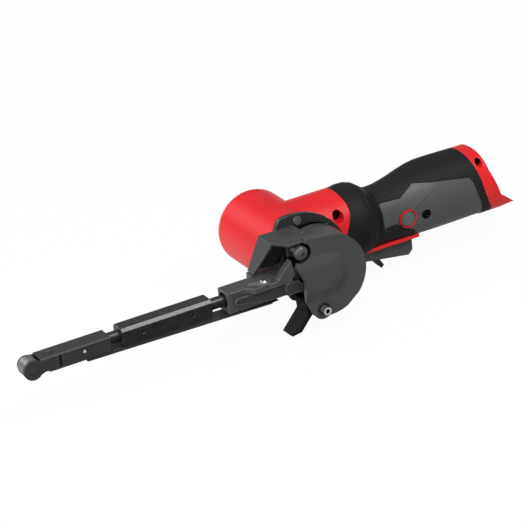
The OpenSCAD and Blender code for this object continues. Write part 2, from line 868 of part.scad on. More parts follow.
// Side outline of the trigger paddle, deeper at its rear
module paddle_outline(inset) {
    polygon([
        [-trigger_front - inset, -paddle_top], [-trigger_front - inset, -paddle_front_low + inset],
        [-trigger_rear + paddle_round, -paddle_rear_low + inset],
        [-trigger_rear + inset, -paddle_rear_low + paddle_round + inset], [-trigger_rear + inset, -paddle_top]
    ]);
}

lock_tail = 25.5;
lock_drop = 4.9;
lock_pivot = [lock_tail - trigger_rear, -trim_low - lock_drop];
lock_pin_r = 1.1;
lock_rib_rise = 2;
lock_slot_front = 6.5;
lock_slot_rear = 9;
lock_half_w = 3;
lock_rib_t = 2.4;
lock_rib_y = lock_half_w + pass_gap + lock_rib_t / 2;
post_r = 2.4;
post_top = switch_low + plunger_len + pass_gap + (plunger_x + pivot[0]) * sin(trigger_swing);
function paddle_floor(x) =
    let (share = (-x - trigger_front) / (trigger_len - paddle_round))
    paddle_front_low + (paddle_rear_low - paddle_front_low) * share;

module trigger() {
    color(charcoal) at_handle() difference() {
        union() {
            difference() {
                side_slab(trigger_half_w, -trigger_half_w) paddle_outline(0);
                difference() {
                    side_slab(trigger_half_w - trigger_wall, trigger_wall - trigger_half_w) union() {
                        paddle_outline(trigger_wall);
                        translate([-trigger_rear + trigger_wall, -paddle_top - overrun / 2])
                            square([trigger_len - 2 * trigger_wall, overrun]);
                    }
                    for (s = [-1, 1])
                        translate([lock_pivot[0], s * lock_rib_y, -paddle_rear_low]) lock_rib();
                    translate([-plunger_x, 0, -paddle_floor(-plunger_x)])
                        cylinder(r = post_r, h = 2 * overrun);
                }
            }
            translate([-plunger_x, 0, -paddle_floor(-plunger_x)])
                cylinder(r = post_r, h = paddle_floor(-plunger_x) - post_top);
            side_slab(hinge_half_w, -hinge_half_w) hinge_arm();
        }
        at_xz(pivot) along_y(2 * trigger_half_w, -2 * trigger_half_w, pivot_r + run_clear);
        box([lock_pivot[0] - lock_slot_rear, -lock_half_w - pass_gap, -paddle_rear_low - overrun],
            [lock_pivot[0] + lock_slot_front, lock_half_w + pass_gap, -paddle_top - overrun]);
        at_xz(lock_pivot)
            along_y(lock_half_w + 2 * lock_rib_t, -lock_half_w - 2 * lock_rib_t, lock_pin_r + seat_clear);
    }
}

// Rib inside the trigger that holds one end of the lock's pin
module lock_rib() {
    box([-lock_rib_t, -lock_rib_t / 2, 0],
        [lock_rib_t, lock_rib_t / 2, paddle_rear_low + lock_pivot[1] + lock_rib_rise]);
}

module hinge_arm() {
    translate(pivot) circle(pivot_hub_r);
    polygon([[pivot[0] - pivot_hub_r, pivot[1]], [pivot[0] + pivot_hub_r, pivot[1]],
             [-trigger_front, -paddle_top], [-trigger_front, -paddle_top - trigger_wall],
             [pivot[0] - pivot_hub_r, -paddle_top - trigger_wall]]);
}

spring_back = 5.5;
spring_x = trigger_rear - spring_back;
spring_r = 2.8;
spring_wire = 0.45;
spring_turns = 6;
spring_low = paddle_floor(spring_r + spring_wire - spring_x) - trigger_wall - pass_gap - spring_wire;
spring_height = spring_low - switch_low - pass_gap - spring_wire;

module trigger_spring() {
    color(steel) at_handle() translate([-spring_x, 0, -spring_low])
        coil(spring_turns, spring_r, spring_wire, spring_height);
}

// Lock-off tab from its pivot, as shares of its length
lock_tab_len = 15.2;
lock_tab_shares = [[-0.17, 0.105], [0.17, 0.105], [0.12, -0.29], [-0.2, -0.74], [-0.44, -1.02],
        [-0.58, -0.9], [-0.16, -0.24]];

module lock_off_lever() {
    color(black_metal) at_handle() difference() {
        at_xz(lock_pivot) side_slab(lock_half_w, -lock_half_w) polygon(lock_tab_len * lock_tab_shares);
        at_xz(lock_pivot) along_y(2 * lock_half_w, -2 * lock_half_w, lock_pin_r + run_clear);
    }
}

module lock_off_pin() {
    color(steel) at_handle() at_xz(lock_pivot)
        along_y(lock_half_w + lock_rib_t, -lock_half_w - lock_rib_t, lock_pin_r);
}

button_proud = 1.2;
ring_floor = side_y(button_place) - ring_deep;

module direction_button() {
    foot = ring_floor + button_travel + pass_gap;
    color("#4a4b4d") at_xz(button_place) along_y(side_y(button_place) + button_proud, foot, button_r);
}

module button_ring() {
    color(red) at_xz(button_place) difference() {
        along_y(side_y(button_place) + button_proud / 3, ring_floor - ring_floor_t, ring_r);
        along_y(side_y(button_place) + button_proud, ring_floor, button_r + run_clear);
    }
}

module screw(floor_y, head_r) {
    difference() {
        union() {
            along_y(floor_y + screw_head_t, floor_y, head_r);
            along_y(floor_y, floor_y - 2 * screw_head_t, screw_shank_r);
        }
        translate([0, floor_y + screw_head_t / 2, 0]) hex_recess(head_r / 2, screw_head_t);
    }
}

module housing_screws() {
    color(steel) {
        at_xz(neck_screw) screw(neck_screw_floor, screw_head_r);
        at_xz(grip_screw) screw(grip_screw_floor, screw_head_r);
        at_xz(bezel_screw) screw(bezel_screw_floor, bezel_recess_r - seat_clear);
    }
}

// Swivel head
clamp_head_rim = 1.8;
clamp_head_r = clamp_r + clamp_head_rim;
clamp_head_t = 2.2;

module clamp_screw() {
    color(steel) at_xz(clamp_place) difference() {
        union() {
            along_y(clamp_head_t + pass_gap - plate_set, pass_gap - plate_set, clamp_head_r);
            along_y(pass_gap - plate_set, mount_far, clamp_r);
        }
        translate([0, clamp_head_t / 2 + pass_gap - plate_set, 0]) hex_recess(clamp_r, clamp_head_t);
    }
}

slot_spare_angle = 2;
slot_start = clamp_angle - swing_up - slot_spare_angle;
slot_end = clamp_angle + swing_down + slot_spare_angle;
slot_half_w = clamp_r + pass_gap;
plate_hub_t = 5.5;
plate_hub_r = boss_r + plate_hub_t;
crescent_start = 90;
nose_start = 36;
nose_r = 15;
nose_ahead = 8;
nose_up = 24;
crescent_end = slot_end + 5 * slot_spare_angle;
crescent_ahead = 10.3;
crescent_drop = 3.5;
crescent_shift = [crescent_ahead, -crescent_drop];
cover_screw_in = 5;
cover_screw_angle = -74.7;
cover_screw_place = on_circle(cover_r - cover_screw_in, cover_screw_angle);
lock_pin_in = 4.4;
lock_pin_angle = -57.3;
lock_pin_place = on_circle(cover_r - lock_pin_in, lock_pin_angle);
plate_pad_r = 3.6;
foot_back = 24.2;
foot_front = bracket_reach - foot_back;

function on_circle(r, a) = [r * cos(a), r * sin(a)];

module sector(start, end, r) {
    steps = 6;
    polygon(concat([[0, 0]], [for (i = [0 : steps]) on_circle(r, start + (end - start) * i / steps)]));
}

module plate_outline() {
    circle(plate_hub_r);
    crescent_outline(0);
    translate([0, -bracket_bottom]) square([foot_front, bracket_bottom + bracket_top]);
    hull() {
        translate(cover_screw_place) circle(plate_pad_r, $fn = 32);
        translate(lock_pin_place) circle(plate_pad_r, $fn = 32);
        circle(plate_pad_r, $fn = 32);
    }
}

// Crescent about the swivel slot, with a round nose in front
module crescent_outline(inset) {
    intersection() {
        translate(crescent_shift) circle(crescent_r - inset);
        union() {
            sector(crescent_start, crescent_end, 2 * crescent_r);
            intersection() {
                sector(nose_start, crescent_start, 2 * crescent_r);
                translate([nose_ahead, nose_up]) circle(nose_r - inset);
            }
        }
    }
}

// Curved slot with round ends about the swivel axis
module slot_outline() {
    intersection() {
        difference() {
            circle(slot_r + slot_half_w);
            circle(slot_r - slot_half_w);
        }
        sector(slot_start, slot_end, 2 * crescent_r);
    }
    for (a = [slot_start, slot_end])
        translate(on_circle(slot_r, a)) circle(slot_half_w);
}

rivet_r = 1.8;
rivet_head_r = 2.7;
rivet_head_t = 1.2;
rivet_angles = [62, 42];
rivet_set = 4.5;
rivet_ring_r = plate_hub_r + rivet_set;
stop_ahead = 6.5;
stop_edge = sqrt(pow(crescent_r, 2) - pow(crescent_ahead - stop_ahead, 2)) - crescent_drop;
stop_place = [stop_ahead, (slot_r + slot_half_w + stop_edge) / 2];
rivet_places = concat([for (a = rivet_angles) on_circle(rivet_ring_r, a)], [stop_place]);
cover_screw_r = 1.7;
lever_axle_r = 1.5;

module back_plate() {
    color(dark_metal) difference() {
        side_slab(-plate_set, plate_far) difference() {
            plate_outline();
            slot_outline();
        }
        along_y(0, -motor_end, boss_r + run_clear);
        at_xz(cover_screw_place) along_y(0, -motor_end, cover_screw_r + seat_clear);
        at_xz(lock_pin_place) along_y(0, -motor_end, lever_axle_r + seat_clear);
        rivet_holes();
    }
}

// Two for the hood, one as the crescent's stop
module plate_rivets() {
    color(steel) for (place = rivet_places)
        at_xz(place) rivet(place == stop_place ? -plate_set : hood_tab_t - plate_set);
}

module rivet_holes() {
    for (place = rivet_places)
        at_xz(place) along_y(0, -motor_end, rivet_r + seat_clear);
}

module rivet(head_y) {
    along_y(head_y, plate_far, rivet_r);
    along_y(head_y + rivet_head_t, head_y, rivet_head_r);
}

// Front edge of the cover from its top, as shares of its radius
cover_front_shares = [[0.02, 1], [0.54, 1.07], [0.845, 0.45], [0.65, 0.03], [0.66, -0.48], [0.5, -0.86]];
cover_lobe_r = 7;
cover_boss_r = 3.6;
rim_start = 70;
rim_end = 262;
rim_spare_angle = 15;
rim_foot_start = slot_end + rim_spare_angle;
rim_far = clamp_head_t + 2 * pass_gap - plate_set;
knob_angle = 48.9;
knob_place = on_circle(cover_r, knob_angle);
knob_room = 2;
bulge_r = 15;
crown_r = 8.6;
bulge_rise = 1.9;
bulge_up = 1;
cover_flat_angle = 232;
cover_flat_in = 0.5;

module cover_outline() {
    circle(cover_r);
    polygon(concat([[0, 0]], [for (s = cover_front_shares) s * cover_r], [cover_screw_place]));
    translate(cover_screw_place) circle(cover_lobe_r);
}

module cover_face() {
    intersection() {
        cover_outline();
        front_limit();
    }
}

// Pressed out over the pulley and on to the front edge
module cover_bulge() {
    crown = cover_set + bulge_rise;
    intersection() {
        translate([0, 0, bulge_up]) {
            turned_y() polygon([[0, cover_set], [bulge_r, cover_set], [crown_r, crown], [0, crown]]);
            rotate([90, 0, 90]) linear_extrude(cover_r) polygon(
                    [[cover_set, -bulge_r], [crown, -crown_r], [crown, crown_r], [cover_set, bulge_r]]);
        }
        side_slab(2 * cover_set, cover_set) cover_face();
    }
}

module belt_cover() {
    color(dark_metal) difference() {
        union() {
            side_slab(cover_set, cover_set - cover_wall) cover_face();
            cover_bulge();
            side_slab(cover_set - cover_wall, hood_near + pass_gap) top_wall();
            side_slab(cover_set - cover_wall, rim_far) rim_outline(rim_start);
            side_slab(rim_far, -plate_set) rim_outline(rim_foot_start);
            at_xz(cover_screw_place) along_y(cover_set - cover_wall, -plate_set, cover_boss_r);
        }
        at_xz(knob_place) along_y(2 * cover_set, 0, knob_r + knob_room);
        at_xz(cover_screw_place) along_y(2 * cover_set, -2 * plate_set, cover_screw_r + seat_clear);
        rotate([0, -cover_flat_angle, 0]) box([cover_r - cover_flat_in, -2 * plate_set, -cover_r],
                [2 * cover_r, 2 * cover_set, cover_r]);
    }
}

// Wall along the cover's straight top edge
module top_wall() {
    rear = cover_r * cover_front_shares[0];
    front = cover_r * cover_front_shares[1];
    polygon([rear, front, front - [0, cover_wall], rear - [0, cover_wall]]);
}

module rim_outline(start) {
    intersection() {
        difference() {
            circle(cover_r);
            circle(cover_r - cover_wall);
        }
        sector(start, rim_end, 2 * cover_r);
    }
}

// The cover's round part ends at the front edge's line
module front_limit() {
    polygon(concat(
        [[-2 * cover_r, 2 * cover_r], [0, 2 * cover_r]],
        [for (s = cover_front_shares) s * cover_r],
        [[cover_r * cover_front_shares[5][0], -2 * cover_r], [-2 * cover_r, -2 * cover_r]]
    ));
}

cover_washer_r = 4;
cover_washer_t = 0.8;
cover_head_r = 2.7;
cover_head_t = 4.2;
cover_head_low = cover_set + cover_washer_t;

module cover_screw() {
    color(steel) at_xz(cover_screw_place) difference() {
        union() {
            along_y(cover_head_low, cover_set, cover_washer_r);
            along_y(cover_head_low + cover_head_t, cover_head_low, cover_head_r);
            along_y(cover_set, plate_far, cover_screw_r);
        }
        translate([0, cover_head_low + cover_head_t / 2, 0]) hex_recess(cover_head_r / 2, cover_head_t);
    }
}

// Guard hood: a folded sheet riveted to the back plate
hood_tab_t = 1.6;
hood_rise = 2.2;
hood_top = cover_r + hood_rise;
hood_front = 34.4;
hood_toe = [foot_front + pass_gap, bracket_top + hood_rise];
hood_near = 4;
hood_toe_near = -3.5;
hood_rear = 10;
hood_foot_share = 0.6;
hood_rear_share = 0.88;

module hood_strip() {
    polygon([[hood_rear, hood_top], [hood_front, hood_top], hood_toe,
             [hood_toe[0] - cover_wall, hood_toe[1]], [hood_front - cover_wall, hood_top - cover_wall],
             [hood_rear, hood_top - cover_wall]]);
}

module guard_hood() {
    color(dark_metal) difference() {
        union() {
            side_slab(hood_near, -plate_set + hood_tab_t) hood_strip();
            hood_flap();
            side_slab(-plate_set + hood_tab_t, -plate_set) hood_tab();
            side_slab(hood_near - cover_wall, hood_near - 2 * cover_wall) knob_tab();
        }
        hood_side_cut();
        at_xz(knob_place) along_y(cover_set, -plate_set + 2 * hood_tab_t, knob_shank_r + run_clear);
        rivet_holes();
    }
}

flap_w = 6.7;
flap_tilt = 15;
flap_front_set = 9.4;

// Flap along the hood's near edge, sloping towards the cover
module hood_flap() {
    rear = cover_r * cover_front_shares[1][0] + pass_gap;
    translate([0, hood_near, hood_top]) rotate([-flap_tilt, 0, 0]) translate([0, 0, -cover_wall])
        linear_extrude(cover_wall)
            polygon([[rear, 0], [hood_front, 0], [hood_front - flap_front_set, flap_w], [rear, flap_w]]);
}

// Wall of the hood that lies on the back plate
module hood_tab() {
    difference() {
        polygon([[hood_rear, hood_top], [hood_front, hood_top], hood_toe,
                 [hood_toe[0] - cover_wall, hood_toe[1]],
                 [foot_front * hood_foot_share, bracket_top + pass_gap],
                 [hood_rear, cover_r * hood_rear_share]]);
        circle(plate_hub_r + pass_gap);
    }
}

module knob_tab() {
    translate([knob_place[0] - knob_r, knob_place[1] - knob_r])
        square([2 * knob_r, hood_top - cover_wall / 2 - knob_place[1] + knob_r]);
}

// Cut that narrows the hood's front flange towards its toe
module hood_side_cut() {
    translate([hood_front - 2 * cover_wall, 0, 0]) rotate([90, 0, 90]) linear_extrude(2 * foot_front)
        polygon([[hood_near, hood_top - 2 * cover_wall], [hood_toe_near, hood_toe[1]], [hood_toe_near, 0],
                 [2 * hood_near, 0], [2 * hood_near, hood_top - 2 * cover_wall]]);
}

knob_shank_r = 2;
knob_t = 5;
knob_sink = 3.1;
knob_under = cover_set - knob_sink;
knob_dome_share = 0.5;
knob_dimple_r = 1.1;

module tracking_knob() {
    color("#55575a") at_xz(knob_place) difference() {
        union() {
            turned_y() knob_profile();
            along_y(knob_under, -plate_set + 2 * hood_tab_t + pass_gap, knob_shank_r);
        }
        along_y(knob_under + knob_t + overrun, knob_under + knob_t - knob_dimple_r, knob_dimple_r);
    }
}

module knob_profile() {
    translate([0, knob_under]) square([knob_r, knob_t * knob_dome_share]);
    intersection() {
        translate([0, knob_under + knob_t - knob_dome_r]) circle(knob_dome_r);
        translate([0, knob_under]) square([knob_r, knob_t]);
    }
}
knob_dome_h = knob_t * (1 - knob_dome_share);
knob_dome_r = (knob_r * knob_r + knob_dome_h * knob_dome_h) / (2 * knob_dome_h);

coil_wire = 0.5;
coil_r = knob_shank_r + coil_wire + pass_gap;
coil_turns = 3;
coil_low = hood_near - cover_wall + pass_gap + coil_wire;
coil_high = knob_under - pass_gap - coil_wire;

module tracking_spring() {
    color(steel) at_xz(knob_place) translate([0, coil_low, 0]) rotate([-90, 0, 0])
        coil(coil_turns, coil_r, coil_wire, coil_high - coil_low);
}
echo(tracking_spring_gap = coil_gap(coil_turns, coil_r, coil_wire, coil_high - coil_low));

// Arm bracket with bore, foot, ledge and lug
bore_room = 1.5;
bore_r = rod_r + bore_room;
bore_depth = 32;
bore_end = bracket_reach - bore_depth;
ledge_w = 4.8;
ledge_near = arm_half_w + ledge_w;
ledge_low = 3.1;
ledge_back = 17.2;
ledge_len = 26;
ledge_front = bracket_reach - ledge_back;
ledge_rear = ledge_front - ledge_len;
lever_back = 5.7;
lever_rise = 0.4;
lever_pivot = [bracket_reach - lever_back, lever_rise];
lever_pin_r = 1.2;
lug_shares = [[0, 0], [0.16, 1], [0.6, 0.55], [1, 0]];
lug_back = 33.2;
lug_len = 12;
lug_h = 10.8;
lug_front = bracket_reach - lug_back;
lug_rear = lug_front - lug_len;

module arm_bracket() {
    color(cast_metal) difference() {
        union() {
            box([bracket_rear, -arm_half_w, -bracket_bottom], [bracket_reach, arm_half_w, bracket_top]);
            box([bracket_rear + retainer_t, -plate_set, -bracket_bottom],
                [foot_front, -arm_half_w, bracket_top]);
            translate([0, 0, ledge_low]) linear_extrude(bracket_top - ledge_low)
                polygon([[ledge_front + ledge_near - arm_half_w, arm_half_w], [ledge_front, ledge_near],
                         [ledge_rear, ledge_near], [ledge_rear, arm_half_w]]);
            side_slab(ledge_near, arm_half_w + pass_gap)
                polygon([for (s = lug_shares)
                    [lug_rear + s[0] * lug_len, bracket_top + s[1] * lug_h]]);
            box([ledge_rear, arm_half_w, bracket_top - ledge_low],
                [lug_front, ledge_near, bracket_top + overrun]);
        }
        along_x(bracket_reach + overrun, bore_end, bore_r);
        along_y(2 * plate_set, -2 * plate_set, retainer_r + pass_gap);
        at_xz(lever_pivot) along_y(2 * plate_set, 0, lever_pin_r + seat_clear);
        translate([latch_place[0], latch_place[1], ledge_low - overrun])
            cylinder(r = latch_rivet_r + seat_clear, h = bracket_top);
    }
}

bush_set = 2.2;
bush_front = bracket_reach - bush_set;
bush_len = 6;

module rod_bush() {
    color("#8a6a3a") difference() {
        along_x(bush_front, bush_front - bush_len, bore_r - seat_clear);
        along_x(bush_front + overrun, bush_front - bush_len - overrun, rod_r + run_clear);
    }
}

// Release lever: a tapering bar with a thumb block
lever_floor = arm_half_w + pass_gap;
lever_t = 2.6;
lever_hub_r = 2.2;
thumb_set = 1.2;
thumb_len = 11.4;
thumb_rear = bracket_rear + thumb_set;
thumb_front = thumb_rear + thumb_len;
thumb_w = 4.3;
thumb_near = lever_floor + thumb_w;
lever_belly_share = 0.66;
lever_rear_top = 2.4;
lever_rear_low = 5.6;

module release_lever() {
    color(black_metal) difference() {
        union() {
            side_slab(lever_floor + lever_t, lever_floor) {
                polygon([[lever_pivot[0], lever_pivot[1] + lever_hub_r], [thumb_front, lever_rear_top],
                         [thumb_front, -lever_rear_low],
                         [lever_pivot[0] * lever_belly_share, -lever_rear_low],
                         [lever_pivot[0], lever_pivot[1] - lever_hub_r]]);
                translate(lever_pivot) circle(lever_hub_r);
            }
            side_slab(thumb_near, lever_floor)
                polygon([[thumb_front, lever_rear_top], [thumb_rear + lever_t, lever_rear_top],
                         [thumb_rear, lever_rear_top - lever_t], [thumb_rear, -lever_rear_low],
                         [thumb_front - lever_t, -lever_rear_low], [thumb_front, lever_t - lever_rear_low]]);
        }
        at_xz(lever_pivot) along_y(2 * thumb_near, 0, lever_pin_r + run_clear);
    }
}

module lever_pin() {
    color(steel) at_xz(lever_pivot)
        along_y(lever_floor + lever_t + pass_gap, bore_r + seat_clear, lever_pin_r);
}

// Latch plate: pointed, on a rivet on the bracket's top
latch_back = 24.7;
latch_in = 3;
latch_place = [bracket_reach - latch_back, ledge_near - latch_in];
latch_rivet_r = 1.4;
latch_head_r = 2.6;
latch_round_r = 3.6;
latch_tip = 9.5;
latch_tip_share = 0.8;
latch_t = 1.6;
latch_low = bracket_top + seat_clear;

module latch_plate() {
    color(cast_metal) translate([latch_place[0], latch_place[1], latch_low]) difference() {
        linear_extrude(latch_t) {
            circle(latch_round_r);
            polygon([[0, latch_round_r], [0, -latch_round_r], [latch_tip, -latch_round_r * latch_tip_share]]);
        }
        translate([0, 0, -overrun]) cylinder(r = latch_rivet_r + run_clear, h = 2 * latch_t);
    }
}

module latch_rivet() {
    color(steel) translate([latch_place[0], latch_place[1], 0]) {
        head_low = latch_low + latch_t + seat_clear;
        translate([0, 0, ledge_low]) cylinder(r = latch_rivet_r, h = head_low - ledge_low);
        translate([0, 0, head_low]) cylinder(r1 = latch_head_r, r2 = latch_rivet_r, h = rivet_head_t);
    }
}

// Swivel lock lever: a paddle that hangs below the pulley
lock_hub_r = 2.8;
lock_web_half = 2.5;
lock_neck = 3.5;
lock_reach = 13.4;
lock_fall = 18.6;
lock_top = lock_pin_place - [0, lock_neck];
lock_tip = lock_pin_place + [lock_reach, -lock_fall];
lock_near = 7;
lock_corner = 5.6;
lock_dir = (lock_tip - lock_top) / norm(lock_tip - lock_top);
lock_back = [lock_dir[1], -lock_dir[0]];

module lock_lever() {
    color(black_metal) difference() {
        union() {
            side_slab(lock_near, -lock_near)
                polygon([lock_pin_place + [-lock_web_half, 0], lock_pin_place + [lock_web_half, 0],
                         lock_top + lock_hub_r * lock_dir, lock_tip, lock_tip + lock_t * lock_back,
                         lock_top + lock_t * lock_back]);
            at_xz(lock_pin_place) along_y(lock_near, -lock_near, lock_hub_r);
        }
        at_xz(lock_pin_place) along_y(2 * lock_near, -2 * lock_near, lever_axle_r + run_clear);
        translate([lock_tip[0], lock_near, lock_tip[1]])
            rotate([0, -atan2(lock_dir[1], lock_dir[0]), 0]) rotate(45)
                cube([sqrt(2) * lock_corner, sqrt(2) * lock_corner, 4 * lock_t], center = true);
    }
}

module lock_lever_pin() {
    color(steel) at_xz(lock_pin_place) along_y(lock_near + pass_gap, plate_far, lever_axle_r);
}

// Front arm
rod_seat = 10;
rod_shoulder = bracket_reach - rod_seat;
rod_tail_r = 2.2;
rod_tail_len = 11.5;
rod_tail = rod_shoulder - rod_tail_len;
rod_grip = 11.5;
rod_front = tip_rear + rod_grip;
pin_r = 1.05;
pin_sink = 0.8;
pin_set = 13.6;
pin_places = [mid_rear + pin_set, mid_front - pin_set];

module arm_rod() {
    color(steel) difference() {
        union() {
            along_x(rod_front, rod_shoulder, rod_r);
            along_x(rod_shoulder, rod_tail, rod_tail_r);
        }
        for (x = pin_places)
            at_xz([x, 0]) along_y(2 * rod_r, -2 * rod_r, pin_r + seat_clear);
    }
}

tension_wire = 0.5;
tension_r = (bore_r + rod_tail_r) / 2;
tension_turns = 7;
tension_rear = bore_end + pass_gap + tension_wire;
tension_front = rod_shoulder - pass_gap - tension_wire;

module tension_spring() {
    color(steel) translate([tension_rear, 0, 0]) rotate([0, 90, 0])
        coil(tension_turns, tension_r, tension_wire, tension_front - tension_rear);
}
echo(tension_spring_gap = coil_gap(tension_turns, tension_r, tension_wire, tension_front - tension_rear));
echo(trigger_spring_gap = coil_gap(spring_turns, spring_r, spring_wire, spring_height));

// Arm block with chamfered upper edges
module arm_block(front, rear, top, chamfer) {
    translate([rear, 0, 0]) rotate([90, 0, 90]) linear_extrude(front - rear)
        polygon([[-arm_half_w, -block_bottom], [arm_half_w, -block_bottom], [arm_half_w, top - chamfer],
                 [arm_half_w - chamfer, top], [chamfer - arm_half_w, top], [-arm_half_w, top - chamfer]]);
}

module middle_block() {
    color(black_metal) difference() {
        arm_block(mid_front, mid_rear, block_top, block_chamfer);
        along_x(mid_front + overrun, mid_rear - overrun, rod_r + seat_clear);
        for (x = pin_places)
            at_xz([x, 0]) along_y(2 * arm_half_w, -2 * arm_half_w, pin_r + seat_clear);
        for (x = platen_screw_places)
            translate([x, 0, -2 * block_bottom])
                cylinder(r = platen_screw_r + seat_clear, h = 2 * block_bottom - rod_r);
    }
}

module arm_pins() {
    color(black_metal) for (x = pin_places)
        at_xz([x, 0]) along_y(arm_half_w - pin_sink, pin_sink - arm_half_w, pin_r);
}

// Platen: a wedge that runs out as a thin sheet
platen_set = 16;
platen_front = tip_rear + platen_set;
platen_rear = bracket_rear + platen_set;
belt_float = 0.6;
platen_nose = 4.4;
platen_sheet_t = 0.6;
platen_in = 0.8;
platen_half_w = arm_half_w - platen_in;
platen_step_set = 0.4;
platen_step = mid_rear + platen_step_set;
platen_screw_r = 1.1;
platen_head_r = 2;
platen_head_t = 0.8;
platen_screw_set = 22;
platen_screw_places = [mid_rear + platen_screw_set, mid_front - platen_screw_set];

// Height of the pad's lower face, inside the belt's run
function pad_face(x) = lower_run(x) + belt_float;
function platen_low(x) = pad_face(x) + pad_t;
function platen_top(x) = platen_low(x) + platen_sheet_t;

module platen() {
    color(dark_metal) difference() {
        side_slab(platen_half_w, -platen_half_w) polygon([
            [platen_front, -block_bottom], [platen_front, platen_low(platen_front)],
            [platen_rear + platen_nose, platen_low(platen_rear + platen_nose)],
            [platen_rear, platen_top(platen_rear) - platen_sheet_t / 2],
            [platen_rear, platen_top(platen_rear)], [platen_step, platen_top(platen_step)],
            [platen_step, -block_bottom]
        ]);
        for (x = platen_screw_places)
            translate([x, 0, pad_face(x)]) {
                cylinder(r = platen_screw_r + seat_clear, h = 2 * block_bottom);
                cylinder(r = platen_head_r + seat_clear, h = pad_t + platen_head_t);
            }
    }
}

module platen_pad() {
    color("#1f1f20") difference() {
        side_slab(platen_half_w, -platen_half_w) polygon([
            [platen_front, platen_low(platen_front)], [platen_front, pad_face(platen_front)],
            [platen_rear + platen_nose, pad_face(platen_rear + platen_nose)],
            [platen_rear + platen_nose, platen_low(platen_rear + platen_nose)]
        ]);
        for (x = platen_screw_places)
            translate([x, 0, pad_face(x) - overrun])
                cylinder(r = platen_head_r + seat_clear, h = 2 * overrun + pad_t);
    }
}

module platen_screws() {
    color(steel) for (x = platen_screw_places)
        translate([x, 0, platen_low(x)]) {
            cylinder(r = platen_head_r, h = platen_head_t);
            cylinder(r = platen_screw_r, h = -platen_low(x) - rod_r - pass_gap);
        }
}

// Tip block with pockets for the fork's tongues, under a thin roof
roller_room = 1;
roof_t = 1.2;
roof_low = tip_block_top - roof_t;
roof_front = tip_x - sqrt(pow(roller_r + roller_room, 2) - pow(roof_low + roller_drop, 2));
tongue_back = 6.8;
tongue_x = tip_front - tongue_back;
tongue_gap = 1.6;
tongue_low = 4.6;
tip_hole_r = 1.7;
tip_hole_set = 17.4;
tip_hole_x = tip_rear + tip_hole_set;
fork_screw_x = tip_front - tongue_back / 2;
fork_screw_r = 1.2;
fork_near = arm_half_w;
fork_floor = arm_half_w - fork_t;

module tip_block() {
    color(black_metal) difference() {
        arm_block(roof_front, tip_rear, tip_block_top, tip_chamfer);
        box([tip_front, -2 * arm_half_w, -2 * block_bottom], [tip_x, 2 * arm_half_w, roof_low]);
        along_x(rod_front, tip_rear - overrun, rod_r + seat_clear);
        at_xz([tip_hole_x, 0]) along_y(2 * arm_half_w, -2 * arm_half_w, tip_hole_r);
        for (s = [0, 1])
            mirror([0, s, 0]) box([tongue_x - tongue_gap, fork_floor - seat_clear, -tongue_low - seat_clear],
                    [tip_front + overrun, 2 * arm_half_w, roof_low]);
        translate([fork_screw_x, 0, 0]) cylinder(r = fork_screw_r + seat_clear, h = 2 * tip_block_top);
    }
}

// Bright pin in the tip block's cross hole
module tip_pin() {
    color(steel) at_xz([tip_hole_x, 0])
        along_y(arm_half_w - pin_sink / 2, pin_sink / 2 - arm_half_w, tip_hole_r - seat_clear);
}

cross_t = tip_set - roller_r - roller_room;
cheek_top = roof_low - seat_clear;
fork_far_in = 0.6;
fork_far_r = roller_r - fork_far_in;

module cheek_outline(end_r) {
    translate([tip_x, -roller_drop]) circle(end_r);
    polygon([[tongue_x, -tongue_low], [tongue_x, cheek_top], [roof_front + pass_gap, cheek_top],
             [tip_x, end_r - roller_drop], [tip_x, -end_r - roller_drop],
             [tip_front + cross_t, -tongue_low]]);
}

module tip_fork() {
    color(black_metal) difference() {
        union() {
            side_slab(fork_near, fork_floor) cheek_outline(fork_r);
            side_slab(-fork_floor, -fork_near) cheek_outline(fork_far_r);
            box([tip_front + seat_clear, -fork_near, -tongue_low],
                [tip_front + cross_t, fork_near, cheek_top]);
        }
        at_xz([tip_x, -roller_drop]) along_y(2 * arm_half_w, -2 * arm_half_w, axle_r + seat_clear);
    }
}

fork_head_r = 1.8;
fork_head_t = 0.9;

module fork_screw() {
    color(steel) translate([fork_screw_x, 0, 0]) difference() {
        union() {
            cylinder(r = fork_screw_r, h = tip_block_top);
            translate([0, 0, tip_block_top]) cylinder(r = fork_head_r, h = fork_head_t);
        }
        translate([0, 0, tip_block_top + fork_head_t / 2])
            cylinder(r = fork_screw_r / 2, h = fork_head_t, $fn = 6);
    }
}

axle_head_r = 2.4;
axle_head_t = 0.5;

module roller_axle() {
    color(steel) at_xz([tip_x, -roller_drop]) {
        along_y(fork_near + axle_head_t, -fork_near - axle_head_t, axle_r);
        for (y = [fork_near + axle_head_t, -fork_near])
            along_y(y, y - axle_head_t, axle_head_r);
    }
}

module tip_roller() {
    color("#8b8d90") at_xz([tip_x, -roller_drop]) difference() {
        along_y(roller_w / 2, -roller_w / 2, roller_r);
        along_y(roller_w, -roller_w, roller_bearing_r + seat_clear);
    }
}

module roller_bearings() {
    color(steel) at_xz([tip_x, -roller_drop]) for (s = [0, 1])
        bearing(roller_w / 2 - s * roller_w / 2 - s * seat_clear, (1 - s) * seat_clear - s * roller_w / 2,
                roller_bearing_r, axle_r + run_clear);
}

